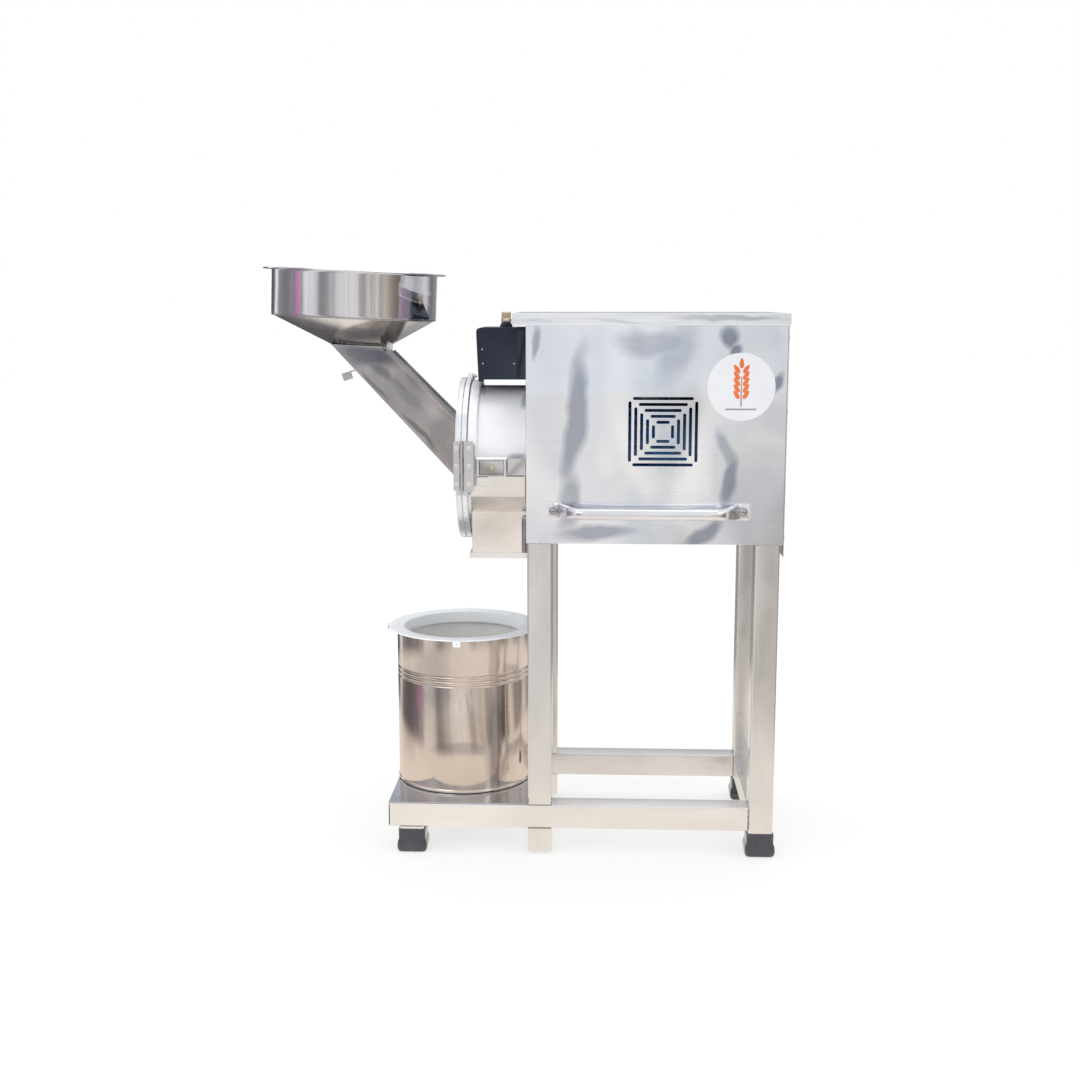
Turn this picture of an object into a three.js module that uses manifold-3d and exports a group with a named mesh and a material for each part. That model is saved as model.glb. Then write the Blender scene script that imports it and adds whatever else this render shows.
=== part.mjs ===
// Hammer mill on a tube stand, with its motor in a sheet box, a hinged grinding chamber door that
// carries the feed chute and hopper, and a round flour container on a platform.
// Millimetres. +X runs along the motor axis from the hopper side to the motor side, +Y runs from the
// operator's side to the back, and +Z is up. The origin is on the floor at the middle of the plan.
import * as THREE from 'three';
import { mergeVertices } from 'three/addons/utils/BufferGeometryUtils.js';
import Module from 'manifold-3d';

const wasm = await Module();
wasm.setup();

// General
const GAP = 0.3;
const SHEET = 1.5;
const ROUND_LARGE = 32;
const ROUND_MEDIUM = 20;
const ROUND_SMALL = 8;
const OVERCUT = 5;
const degrees = THREE.MathUtils.degToRad;

// Tube stand
const TUBE = 40;
const TUBE_WALL = 1.5;
const STAND_HALF_DEPTH = 159;
const STAND_LEFT = -212;
const LEFT_LEG_X = 38;
const RIGHT_LEG_X = 400;
const BEAM_BOTTOM = 44.3;
const BEAM_TOP = BEAM_BOTTOM + TUBE;
const STUB_FLOOR_CLEARANCE = 5.5;
const BOX_BOTTOM = 520.6;
const TUBE_Y = STAND_HALF_DEPTH - TUBE / 2;

// Rubber boots
const BOOT_LEFT_X = -174;
const BOOT_COLLAR = 45;
const BOOT_SOLE = 50;
const BOOT_HEIGHT = 40;
const BOOT_SOLE_HEIGHT = 20;
const BOOT_EDGE = 6;
const BOOT_SHOULDER = 3;
const BOOT_FLOOR = 6;

// Motor box
const BOX_LEFT = 16;
const BOX_RIGHT = 424;
const LID_LEFT = -5;
const LID_RIGHT = 427.4;
const LID_BOTTOM = 865.5;
const LID_TOP = 884.3;
const SIDE_PANEL_BOTTOM = 501.6;
const GRILLE_X = 232;
const GRILLE_Z = 700;
const GRILLE_RINGS = 5;
const GRILLE_FIRST = 15;
const GRILLE_STEP = 9.3;
const GRILLE_SLOT = 4.7;

// Lifting handles
const HANDLE_X = [59.8, 359.7];
const HANDLE_Z = 574;
const HANDLE_RADIUS = 9.5;
const HANDLE_REACH = 35.5;
const HANDLE_BEND = 34;
const HANDLE_PAD = { width: 26, height: 29, thick: 2.6 };
const HANDLE_FOOT = { inset: 2, rise: 1 };
const HANDLE_ROUTE = [[0.4, 0.35], [0.85, 0.85], [1.4, 1]];
const HANDLE_STEPS = 14;

// Mill axis, motor and shaft
const AXIS_Z = 641.5;
const MOTOR_FOOT = 90;
const MOTOR_RADIUS = 84;
const MOTOR_FIN_RADIUS = 91;
const MOTOR_FINS = 20;
const MOTOR_FIN_SHAPE = [
  [0, MOTOR_RADIUS],
  [0.6, MOTOR_RADIUS],
  [0.65, MOTOR_FIN_RADIUS],
  [0.95, MOTOR_FIN_RADIUS],
];
const MOTOR_BORE = 62;
const MOTOR_START = 80;
const MOTOR_END = 258;
const MOTOR_END_WALL = 16;
const MOTOR_RAIL = { x: [88, 250], y: [52, 92] };
const MOTOR_STRAP = { x: [150, 188], halfY: 60, thick: 6 };
const MOTOR_FEET = { x: [100, 238], y: [50, 84], thick: 14 };
const MOTOR_WEB = { x: [110, 228], y: [50, 62], overlap: 7, top: -50 };
const BELL_RADII = [44, 76, 88];
const BELL_STEPS = [26, 14, 8];
const TERMINAL_FOOT = { x: [140, 180], halfY: 22, height: 8 };
const TERMINAL_COVER = { x: [128, 196], halfY: 34, height: 38 };
const SHAFT_RADIUS = 12;
const SHAFT_CLEARANCE = 8;
const SHAFT_TIP = -68;
const SHAFT_CHAMFER = 2;
const SHAFT_REAR = 312;
const CORE_SPAN = [96, 232];
const BEARING_RADIUS = 26;
const BEARING_WIDTH = 14;
const DRIVE_BEARING = 55.7;
const FAN_BEARING = 243;
const FAN_START = 275;
const FAN_WIDTH = 26;
const FAN_HUB = 24;
const FAN_BLADES = 8;
const FAN_BLADE = { inner: 20, outer: 70, half: 1.2, inset: 2 };
const COWL_END = 350;
const COWL_RADIUS = 92;
const COWL_THICK = 1.2;
const COWL_CHAMFER = 10;
const COWL_OPENING = 30;

// Grinding chamber
const DRUM_RADIUS = 122;
const DRUM_BORE = 119.5;
const DRUM_LEFT = -76;
const COLLAR_RADIUS = 131;
const COLLAR_RIGHT = -65;
const FLANGE_RADIUS = 135;
const FLANGE_LEFT = -89.6;
const FLANGE_RIGHT = -80.6;
const SPLIT_BELOW_AXIS = 16.5;
const LINER_INNER = 112;
const LINER_OUTER = 118.7;
const LINER_TEETH = 16;
const LINER_TOOTH = 3;
const LINER_CLEARANCE = 0.4;
const TOP_LUG = { left: -88.6, right: -70, half: 9, rise: 7, root: 3 };
const CLAMP = { x: [-64, -17], y: [-136, -110], top: 12, wall: [4, 3], floor: -130 };
const SCREEN_RADIUS = 113;
const SCREEN_THICK = 1.5;
const SCREEN_HALF_ANGLE = 59.5;
const SCREEN_ROWS = 4;
const SCREEN_COLUMNS = 6;
const SCREEN_HOLE = 5;
const SCREEN_HOLE_ANGLE = 50;
const INNER_LEFT = DRUM_LEFT + 3;

// Outlet duct, half depths at its bend lines
const DUCT_LEFT = -76;
const DUCT_RIGHT = 12.9;
const DUCT_UPPER_BEND = 591;
const DUCT_LOWER_BEND = 562;
const DUCT_BOTTOM = 485.3;
const DUCT_FLANGE_TOP = 494.6;
const DUCT_FLANGE_WIDTH = 4;
const DUCT_TOP_HALF = 122;
const DUCT_BEND_HALF = 120;
const DUCT_OUTLET_HALF = 92;
const INNER_RIGHT = DUCT_RIGHT - 2;

// Door, hinge and clamping knob
const DOOR_LEFT = -99.5;
const DOOR_RIGHT = -90;
const DOOR_PLATE = 3;
const DOOR_CHAMFER = 2;
const DOOR_RIM = [12, 15];
const GASKET = { inner: 108, outer: 118.5, squeeze: 0.6 };
const HINGE_X = -87.7;
const HINGE_Y = -141.5;
const HINGE_LOW = 603;
const HINGE_HIGH = 682;
const HINGE_BARREL = 3.4;
const HINGE_PIN = 2;
const HINGE_REACH = HINGE_BARREL + 0.4;
const HINGE_ARM = [HINGE_Y, HINGE_Y + HINGE_BARREL - 0.4];
const HINGE_RIM_CUT = [-120, -60];
const HINGE_PLATE = [-141, -138.4];
const HINGE_PACKING = { y: [-139, -118], inset: 6, doorRight: -93, bodyRight: -67 };
const HINGE_DOOR_EDGE = -101;
const HINGE_BODY_EDGE = -69;
const HINGE_KEEPER = { x: [-95, -73], y: [-142, -136], drop: 8 };
const PIN_OVERHANG = [5, 1];
const KNOB_Y = 146;
const KNOB_STUD = 4;
const STUD_PLAY = 0.8;
const KNOB_BOSS = 9;
const KNOB_RIDGES = { count: 12, high: 14, low: 11.5 };
const KNOB_GRIP = [-120, -104];
const LUG_OUTER_Y = 157;
const LUG_HALF = 11;
const LUG_ROOT = 8;

// Feed chute, its corners seen from the operator's side, and the gate in its underside
const CHUTE_HALF_WIDTH = 45;
const CHUTE_TOP_LEFT = new THREE.Vector2(-311.4, 832.6);
const CHUTE_TOP_RIGHT = new THREE.Vector2(-226, 828.8);
const CHUTE_SHOULDER = new THREE.Vector2(-226, 824.5);
const CHUTE_END_TOP = new THREE.Vector2(-99.8, 698.3);
const CHUTE_END_BOTTOM = new THREE.Vector2(-99.8, 605.2);
const GATE_X = -272;
const GATE_Z = 790.5;
const GATE_SLOPE = degrees(17);
const GATE_HALF_WIDTH = 41;
const GATE_THICK = 2;
const GATE_CLEARANCE = 0.7;
const GATE_PLATE = [5, 59];
const GATE_NECK = { x: [-31, 6], half: 6 };
const GATE_TAB = { x: [-31, -15], y: [-6, -4], drop: 12 };
const RIDGE_HEIGHT = 3;
const RIDGE_INSET = 8;

// Hopper, in a frame of its own that stands on the chute's mouth and leans with it
const HOPPER_X = -267.5;
const HOPPER_Z = 831;
const HOPPER_LEAN = degrees(2.5);
const HOPPER_THROAT = { halfX: 44, halfY: 42 };
const HOPPER_OFFSET = -14.3;
const HOPPER_RADIUS = 136.7;
const HOPPER_FLANGE = 151;
const HOPPER_CONE_HEIGHT = 45;
const HOPPER_HEIGHT = 121;
const HOPPER_CONE_WALL = 1.95;
const HOPPER_HEEL = { inset: 1, rise: 3 };

// Rotor
const ROTOR_LEFT = -60;
const ROTOR_RIGHT = -6;
const ROTOR_PLATE = 6;
const ROTOR_PLATE_RADIUS = 70;
const ROTOR_HUB = 25;
const PIN_CIRCLE = 56;
const PIN_RADIUS = 6;
const HAMMER_LENGTH = 42;
const HAMMER_HALF_WIDTH = 12;
const HAMMER_THICK = 12;
const HAMMER_STATIONS = [-43.5, -22.5];
const PIN_ANGLES = [45, 135, 225, 315];
const PIN_ENDS = 3;
const HAMMER_CORNER = 4;
const HAMMER_PLAY = 0.8;

// Starter
const STARTER_LEFT = -70;
const STARTER_BOTTOM = 776;
const STARTER_TOP = 860;
const STARTER_HALF_DEPTH = 62;
const STARTER_TAPER = 3.4;
const STARTER_CORNER = 6;
const SOCKET_BEYOND = 7;
const BUTTON_RADIUS = 11;
const BUTTON_DEPTH = 12;
const BUTTON_RECESS = 1.6;
const BUTTON_PLAY = 0.6;
const BUTTON_Z = { start_button: 836, stop_button: 802 };
const GLAND_X = -24;
const GLAND_Y = -8;
const GLAND_SEAT = { radii: [11, 10, 7.5], step: 4, height: 8.5 };
const GLAND_SKIRT = { radius: 9, height: 6 };
const GLAND_NUT = { radii: [7.6, 8, 7], top: [15, 17], bore: 4 };

// Container
const CONTAINER_X = -99.5;
const CONTAINER_RADIUS = 114.5;
const CONTAINER_HEIGHT = 264;
const CONTAINER_BEADS = [184, 192, 200];
const BEAD_HALF = 2.2;
const BEAD_DEPTH = 1.2;
const BASE_FOLD = { middle: 3, bulge: 1.5 };
const RING_OUTER = 128;
const RING_INNER = 102;
const RING_NECK = 19;
const RING_THICK = 2.2;
const RING_TABS = [0, 90, 180, 270];
const TAB = { root: 3, reach: 5, half: 6, thick: 2, drop: 8 };

// Finishes
const finish = (color, roughness, metalness) => {
  return new THREE.MeshStandardMaterial({ color, roughness, metalness });
};
const frameSteel = () => finish(0xcfc8be, 0.35, 1);
const polishedSteel = () => finish(0xc8ccd2, 0.22, 1);
const innerSteel = () => finish(0x9a9a9c, 0.45, 1);
const forgedSteel = () => finish(0x55565a, 0.55, 0.9);
const blackRubber = () => finish(0x15161a, 0.45, 0);
const motorPaint = () => finish(0x1d5fa8, 0.5, 0.1);
const starterPlastic = () => finish(0x1c2233, 0.4, 0);
const brass = () => finish(0xc79a45, 0.3, 1);
const whiteMetal = () => finish(0xe6eaee, 0.4, 0.4);

// Solids

function signedVolume(positions, triangles) {
  const [a, b, c] = [new THREE.Vector3(), new THREE.Vector3(), new THREE.Vector3()];
  let total = 0;
  for (let i = 0; i < triangles.length; i += 3) {
    a.fromArray(positions, triangles[i] * 3);
    b.fromArray(positions, triangles[i + 1] * 3);
    c.fromArray(positions, triangles[i + 2] * 3);
    total += a.dot(b.cross(c));
  }
  return total;
}

function solid(geometry) {
  const bare = geometry.clone();
  bare.deleteAttribute('normal');
  bare.deleteAttribute('uv');
  const merged = mergeVertices(bare);
  const index = merged.index.array;
  const positions = new Float32Array(merged.attributes.position.array);
  const triangles = [];
  for (let i = 0; i < index.length; i += 3) {
    const [a, b, c] = [index[i], index[i + 1], index[i + 2]];
    if (a !== b && b !== c && c !== a) {
      triangles.push(a, b, c);
    }
  }
  if (signedVolume(positions, triangles) < 0) {
    triangles.reverse();
  }
  const surface = new wasm.Mesh({
    numProp: 3,
    vertProperties: positions,
    triVerts: new Uint32Array(triangles),
  });
  return new wasm.Manifold(surface);
}

const join = (...solids) => solids.reduce((sum, next) => sum.add(next));
const cut = (body, ...tools) => tools.reduce((rest, tool) => rest.subtract(tool), body);

function part(name, body, material) {
  const surface = body.getMesh();
  const geometry = new THREE.BufferGeometry();
  const positions = new Float32Array(surface.vertProperties);
  geometry.setAttribute('position', new THREE.BufferAttribute(positions, 3));
  geometry.setIndex(Array.from(surface.triVerts));
  geometry.computeVertexNormals();
  const mesh = new THREE.Mesh(geometry, material);
  mesh.name = name;
  return mesh;
}

function place(object, x, y, z) {
  object.position.set(x, y, z);
  return object;
}

function group(...children) {
  const result = new THREE.Group();
  result.add(...children);
  return result;
}

// Shapes

function block([x0, x1], [y0, y1], [z0, z1]) {
  const geometry = new THREE.BoxGeometry(x1 - x0, y1 - y0, z1 - z0);
  return geometry.translate((x0 + x1) / 2, (y0 + y1) / 2, (z0 + z1) / 2);
}

const AXIS_ORDER = {
  x: (u, v, w) => [w, u, v],
  y: (u, v, w) => [u, w, v],
  z: (u, v, w) => [u, v, w],
};

function reorder(geometry, order) {
  const position = geometry.attributes.position;
  for (let i = 0; i < position.count; i += 1) {
    const [x, y, z] = order(position.getX(i), position.getY(i), position.getZ(i));
    position.setXYZ(i, x, y, z);
  }
  return geometry;
}

// A prism along one axis. Its outline is given in the two other axes, in X, Y, Z order.
function prism(axis, outline, [from, to]) {
  const shape = new THREE.Shape(outline.map(([u, v]) => new THREE.Vector2(u, v)));
  const geometry = new THREE.ExtrudeGeometry(shape, { depth: to - from, bevelEnabled: false });
  return reorder(geometry.translate(0, 0, from), AXIS_ORDER[axis]);
}

const LATHE_ORDER = {
  x: (u, v, w) => [v, u, w],
  y: (u, v, w) => [u, v, w],
  z: (u, v, w) => [u, w, v],
};

// A turned shape about one axis. Its profile is a list of [position along the axis, radius].
function turned(axis, profile, segments) {
  const points = profile.map(([along, radius]) => new THREE.Vector2(radius, along));
  const [first, last] = [profile[0], profile[profile.length - 1]];
  const touchesAxis = first[1] === 0 && last[1] === 0;
  if (!touchesAxis) {
    points.push(points[0].clone());
  }
  return reorder(new THREE.LatheGeometry(points, segments), LATHE_ORDER[axis]);
}

function rod(axis, radius, [from, to], segments = ROUND_SMALL) {
  return turned(axis, [[from, 0], [from, radius], [to, radius], [to, 0]], segments);
}

function ring(axis, inner, outer, [from, to], segments = ROUND_LARGE) {
  return turned(axis, [[from, inner], [from, outer], [to, outer], [to, inner]], segments);
}

// A pair of blocks mirrored in Y. The Y span is given for the positive side.
function mirroredBlocks(x, [near, far], z) {
  return [solid(block(x, [near, far], z)), solid(block(x, [-far, -near], z))];
}

function pointOnCircle(radius, angle) {
  return [radius * Math.cos(degrees(angle)), radius * Math.sin(degrees(angle))];
}

function arcPoints(radius, from, to, steps) {
  const points = [];
  for (let i = 0; i <= steps; i += 1) {
    points.push(pointOnCircle(radius, from + ((to - from) * i) / steps));
  }
  return points;
}

// Tube stand

function tube(name, axis, [from, to]) {
  const half = TUBE / 2;
  const hollow = half - TUBE_WALL;
  const square = (size) => [[-size, -size], [size, -size], [size, size], [-size, size]];
  const outer = solid(prism(axis, square(half), [from, to]));
  const bore = solid(prism(axis, square(hollow), [from - OVERCUT, to + OVERCUT]));
  return part(name, cut(outer, bore), frameSteel());
}

// A long base beam with the short stub under its left end that carries a boot.
function baseBeam(name, side) {
  const half = TUBE / 2;
  const end = RIGHT_LEG_X - half - GAP;
  const middle = BEAM_BOTTOM + half;
  const outer = block([STAND_LEFT, end], [-half, half], [-half, half]);
  const inner = block(
    [STAND_LEFT + TUBE_WALL, end + OVERCUT],
    [-half + TUBE_WALL, half - TUBE_WALL],
    [-half + TUBE_WALL, half - TUBE_WALL],
  );
  const stubBottom = BOOT_FLOOR + GAP - middle;
  const stubX = [BOOT_LEFT_X - half, BOOT_LEFT_X + half];
  const stub = block(stubX, [-half, half], [stubBottom, -half + TUBE_WALL / 2]);
  const stubBore = block(
    [stubX[0] + TUBE_WALL, stubX[1] - TUBE_WALL],
    [-half + TUBE_WALL, half - TUBE_WALL],
    [stubBottom - OVERCUT, -half],
  );
  const body = cut(join(cut(solid(outer), solid(inner)), solid(stub)), solid(stubBore));
  return place(part(name, body, frameSteel()), 0, side * TUBE_Y, middle);
}

function crossBeam(name, x) {
  const reach = TUBE_Y - TUBE / 2 - GAP;
  return place(tube(name, 'y', [-reach, reach]), x, 0, BEAM_BOTTOM + TUBE / 2);
}

function leg(name, x, side, bottom) {
  return place(tube(name, 'z', [bottom, BOX_BOTTOM - GAP]), x, side * TUBE_Y, 0);
}

function footStub(name, side) {
  const span = [STUB_FLOOR_CLEARANCE, BEAM_BOTTOM - GAP];
  return place(tube(name, 'z', span), LEFT_LEG_X, side * TUBE_Y, 0);
}

// A square rubber cup with a wider sole whose lower edges are rounded off.
function boot(name, x, side) {
  const collar = BOOT_COLLAR / 2;
  const sole = BOOT_SOLE / 2;
  const shoulder = BOOT_SOLE_HEIGHT - BOOT_SHOULDER;
  const socket = TUBE / 2 + GAP;
  const rightFlank = [
    [sole - BOOT_EDGE, 0],
    [sole - BOOT_EDGE / 3, BOOT_EDGE / 3],
    [sole, BOOT_EDGE],
    [sole, shoulder],
    [collar, BOOT_SOLE_HEIGHT],
    [collar, BOOT_HEIGHT],
  ];
  const leftFlank = rightFlank.map(([u, z]) => [-u, z]).reverse();
  const flanks = [...rightFlank, ...leftFlank];
  const alongY = solid(prism('y', flanks, [-sole, sole]));
  const alongX = solid(prism('x', flanks, [-sole, sole]));
  const recess = solid(block([-socket, socket], [-socket, socket], [BOOT_FLOOR, BOOT_HEIGHT + OVERCUT]));
  return place(part(name, cut(alongY.intersect(alongX), recess), blackRubber()), x, side * TUBE_Y, 0);
}

function platformSheet() {
  const right = LEFT_LEG_X - TUBE / 2 - GAP;
  const sheet = block(
    [STAND_LEFT, right],
    [-STAND_HALF_DEPTH, STAND_HALF_DEPTH],
    [BEAM_TOP + GAP, BEAM_TOP + GAP + SHEET],
  );
  return part('platform_sheet', solid(sheet), polishedSteel());
}

function stand() {
  const legX = { left: LEFT_LEG_X, right: RIGHT_LEG_X };
  const bottoms = { left: BEAM_TOP + GAP, right: BOOT_FLOOR + GAP };
  const pieces = [
    platformSheet(),
    crossBeam('left_beam', STAND_LEFT + TUBE / 2),
    crossBeam('right_beam', RIGHT_LEG_X),
  ];
  for (const [depth, side] of [['front', -1], ['rear', 1]]) {
    pieces.push(baseBeam(`${depth}_beam`, side));
    pieces.push(footStub(`stub_${depth}`, side));
    pieces.push(boot(`boot_${depth}_left`, BOOT_LEFT_X, side));
    pieces.push(boot(`boot_${depth}_right`, RIGHT_LEG_X, side));
    for (const end of ['left', 'right']) {
      pieces.push(leg(`leg_${depth}_${end}`, legX[end], side, bottoms[end]));
    }
  }
  return group(...pieces);
}

// Motor box

// Square rings of slots, four to a ring, through the front wall.
function grilleCutters() {
  const cutters = [];
  const wall = [-STAND_HALF_DEPTH - OVERCUT, -STAND_HALF_DEPTH + OVERCUT];
  for (let k = 0; k < GRILLE_RINGS; k += 1) {
    const offset = GRILLE_FIRST + GRILLE_STEP * k;
    const halfLength = offset - GRILLE_SLOT;
    for (const [x, z] of [[0, 1], [0, -1], [1, 0], [-1, 0]]) {
      const halfX = x ? GRILLE_SLOT / 2 : halfLength;
      const halfZ = z ? GRILLE_SLOT / 2 : halfLength;
      const middle = [GRILLE_X + x * offset, GRILLE_Z + z * offset];
      const spanX = [middle[0] - halfX, middle[0] + halfX];
      const spanZ = [middle[1] - halfZ, middle[1] + halfZ];
      cutters.push(solid(block(spanX, wall, spanZ)));
    }
  }
  return cutters;
}

function motorBox() {
  const wallTop = LID_TOP - SHEET - GAP;
  const depth = [-STAND_HALF_DEPTH, STAND_HALF_DEPTH];
  const outer = block([BOX_LEFT, BOX_RIGHT], depth, [BOX_BOTTOM, wallTop]);
  const inner = block(
    [BOX_LEFT + SHEET, BOX_RIGHT + OVERCUT],
    [depth[0] + SHEET, depth[1] - SHEET],
    [BOX_BOTTOM + SHEET, wallTop + OVERCUT],
  );
  const shaftHole = rod(
    'x',
    SHAFT_RADIUS + SHAFT_CLEARANCE,
    [BOX_LEFT - OVERCUT, BOX_LEFT + OVERCUT],
    ROUND_MEDIUM,
  );
  shaftHole.translate(0, 0, AXIS_Z);
  const body = cut(solid(outer), solid(inner), solid(shaftHole), ...grilleCutters());
  return part('motor_box', body, polishedSteel());
}

function boxLid() {
  const reach = STAND_HALF_DEPTH + GAP + SHEET;
  const outer = block([LID_LEFT, LID_RIGHT], [-reach, reach], [LID_BOTTOM, LID_TOP]);
  const inner = block(
    [LID_LEFT + SHEET, LID_RIGHT - SHEET + GAP / 2],
    [-reach + SHEET, reach - SHEET],
    [LID_BOTTOM - OVERCUT, LID_TOP - SHEET],
  );
  return part('box_lid', cut(solid(outer), solid(inner)), polishedSteel());
}

function sidePanel() {
  const panel = block(
    [BOX_RIGHT + GAP, BOX_RIGHT + GAP + SHEET],
    [-STAND_HALF_DEPTH, STAND_HALF_DEPTH],
    [SIDE_PANEL_BOTTOM, LID_TOP - SHEET - GAP],
  );
  return part('side_panel', solid(panel), polishedSteel());
}

// A bowed tube between two flat pads. Each point of its end bends is a share of the bend's length and reach.
// It is built for the front and turned round for the rear.
function handle(name, side) {
  const [left, right] = HANDLE_X;
  const middle = (left + right) / 2;
  const half = (right - left) / 2;
  const padWidth = HANDLE_PAD.width / 2;
  const bend = HANDLE_ROUTE.map(([along, reach]) => [-half + HANDLE_BEND * along, -HANDLE_REACH * reach]);
  const foot = [-half + HANDLE_FOOT.inset, -HANDLE_PAD.thick - HANDLE_FOOT.rise];
  const leftEnd = [foot, ...bend];
  const rightEnd = leftEnd.map(([x, y]) => [-x, y]).reverse();
  const route = [...leftEnd, [0, -HANDLE_REACH], ...rightEnd];
  const path = new THREE.CatmullRomCurve3(route.map(([x, y]) => new THREE.Vector3(x, y, 0)));
  const outline = arcPoints(HANDLE_RADIUS, 0, 360 - 360 / ROUND_SMALL, ROUND_SMALL - 1);
  const section = new THREE.Shape(outline.map(([u, v]) => new THREE.Vector2(u, v)));
  const bar = new THREE.ExtrudeGeometry(section, { steps: HANDLE_STEPS, extrudePath: path });
  const wallZ = [-HANDLE_PAD.height, HANDLE_PAD.height];
  const wall = solid(block([-half * 2, half * 2], [0, HANDLE_REACH], wallZ));
  const pads = [-half, half].map((x) => solid(block(
    [x - padWidth, x + padWidth],
    [-HANDLE_PAD.thick, 0],
    [-HANDLE_PAD.height / 2, HANDLE_PAD.height / 2],
  )));
  const mesh = part(name, cut(join(solid(bar), ...pads), wall), polishedSteel());
  mesh.rotation.z = side > 0 ? Math.PI : 0;
  return place(mesh, middle, side * (STAND_HALF_DEPTH + GAP), HANDLE_Z);
}

function box() {
  return group(motorBox(), boxLid(), sidePanel(), handle('handle_front', -1), handle('handle_rear', 1));
}

// Motor, in the frame of the mill axis

function motorMount() {
  const top = -MOTOR_FOOT - GAP;
  const bottom = BOX_BOTTOM + SHEET + GAP - AXIS_Z;
  const rails = mirroredBlocks(MOTOR_RAIL.x, MOTOR_RAIL.y, [bottom, top]);
  const { x, halfY, thick } = MOTOR_STRAP;
  const strap = solid(block(x, [-halfY, halfY], [bottom, bottom + thick]));
  return part('motor_mount', join(...rails, strap), forgedSteel());
}

function finnedOutline() {
  const step = 360 / MOTOR_FINS;
  const outline = [];
  for (let i = 0; i < MOTOR_FINS; i += 1) {
    for (const [share, radius] of MOTOR_FIN_SHAPE) {
      outline.push(pointOnCircle(radius, (i + share) * step));
    }
  }
  return outline;
}

function motorFrame() {
  const footBottom = -MOTOR_FOOT;
  const feet = mirroredBlocks(MOTOR_FEET.x, MOTOR_FEET.y, [footBottom, footBottom + MOTOR_FEET.thick]);
  const webs = mirroredBlocks(MOTOR_WEB.x, MOTOR_WEB.y, [footBottom + MOTOR_WEB.overlap, MOTOR_WEB.top]);
  const body = solid(prism('x', finnedOutline(), [MOTOR_START, MOTOR_END]));
  const boreEnd = MOTOR_END - MOTOR_END_WALL;
  const bore = solid(rod('x', MOTOR_BORE, [MOTOR_START - OVERCUT, boreEnd], ROUND_MEDIUM));
  const seat = solid(rod('x', BEARING_RADIUS + GAP, [boreEnd - OVERCUT, MOTOR_END + OVERCUT], ROUND_MEDIUM));
  return part('motor_frame', cut(join(body, ...feet, ...webs), bore, seat), motorPaint());
}

function driveEndBell() {
  const right = MOTOR_START - GAP;
  const [nose, shoulder, rim] = BELL_RADII;
  const [noseStep, shoulderStep, rimStep] = BELL_STEPS;
  const bell = turned('x', [
    [right - noseStep, BEARING_RADIUS + GAP],
    [right - noseStep, nose],
    [right - shoulderStep, shoulder],
    [right - rimStep, rim],
    [right, rim],
    [right, BEARING_RADIUS + GAP],
  ], ROUND_MEDIUM);
  return part('drive_end_bell', solid(bell), motorPaint());
}

function terminalBox() {
  const bottom = MOTOR_FIN_RADIUS + GAP;
  const { x, halfY, height } = TERMINAL_FOOT;
  const foot = solid(block(x, [-halfY, halfY], [bottom, bottom + height]));
  const coverBottom = bottom + height - 2;
  const cover = solid(block(
    TERMINAL_COVER.x,
    [-TERMINAL_COVER.halfY, TERMINAL_COVER.halfY],
    [coverBottom, coverBottom + TERMINAL_COVER.height],
  ));
  return part('terminal_box', join(foot, cover), motorPaint());
}

function bearing(name, from) {
  const race = ring('x', SHAFT_RADIUS + GAP, BEARING_RADIUS, [from, from + BEARING_WIDTH], ROUND_MEDIUM);
  return part(name, solid(race), polishedSteel());
}

function motorShaft() {
  const core = MOTOR_BORE - 1;
  const [coreStart, coreEnd] = CORE_SPAN;
  const shaft = turned('x', [
    [SHAFT_TIP, 0],
    [SHAFT_TIP, SHAFT_RADIUS - SHAFT_CHAMFER],
    [SHAFT_TIP + SHAFT_CHAMFER, SHAFT_RADIUS],
    [coreStart, SHAFT_RADIUS],
    [coreStart, core],
    [coreEnd, core],
    [coreEnd, SHAFT_RADIUS],
    [SHAFT_REAR, SHAFT_RADIUS],
    [SHAFT_REAR, 0],
  ], ROUND_MEDIUM);
  return part('motor_shaft', solid(shaft), forgedSteel());
}

function motorFan() {
  const [left, right] = [FAN_START, FAN_START + FAN_WIDTH];
  const { inner, outer, half, inset } = FAN_BLADE;
  const hub = solid(rod('x', FAN_HUB, [left, right], ROUND_MEDIUM));
  const blades = [];
  for (let i = 0; i < FAN_BLADES; i += 1) {
    const blade = block([left + inset, right - inset], [inner, outer], [-half, half]);
    blades.push(solid(blade.rotateX((i * 2 * Math.PI) / FAN_BLADES)));
  }
  const bore = solid(rod('x', SHAFT_RADIUS + GAP, [left - OVERCUT, right + OVERCUT], ROUND_MEDIUM));
  return part('motor_fan', cut(join(hub, ...blades), bore), finish(0x2a2a2c, 0.6, 0));
}

function fanCowl() {
  const left = MOTOR_END + GAP;
  const inner = COWL_RADIUS - COWL_THICK;
  const cup = turned('x', [
    [left, inner],
    [left, COWL_RADIUS],
    [COWL_END - COWL_CHAMFER, COWL_RADIUS],
    [COWL_END, COWL_RADIUS - COWL_CHAMFER],
    [COWL_END, COWL_OPENING],
    [COWL_END - SHEET, COWL_OPENING],
    [COWL_END - SHEET, inner - COWL_CHAMFER],
    [COWL_END - SHEET / 3 - COWL_CHAMFER, inner],
  ], ROUND_MEDIUM);
  return part('fan_cowl', solid(cup), motorPaint());
}

function motor() {
  return group(
    motorMount(),
    motorFrame(),
    driveEndBell(),
    terminalBox(),
    bearing('drive_bearing', DRIVE_BEARING),
    bearing('fan_bearing', FAN_BEARING),
    motorShaft(),
    motorFan(),
    fanCowl(),
  );
}

const fromAxis = (z) => z - AXIS_Z;

// Grinding chamber, in the frame of the mill axis

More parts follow.
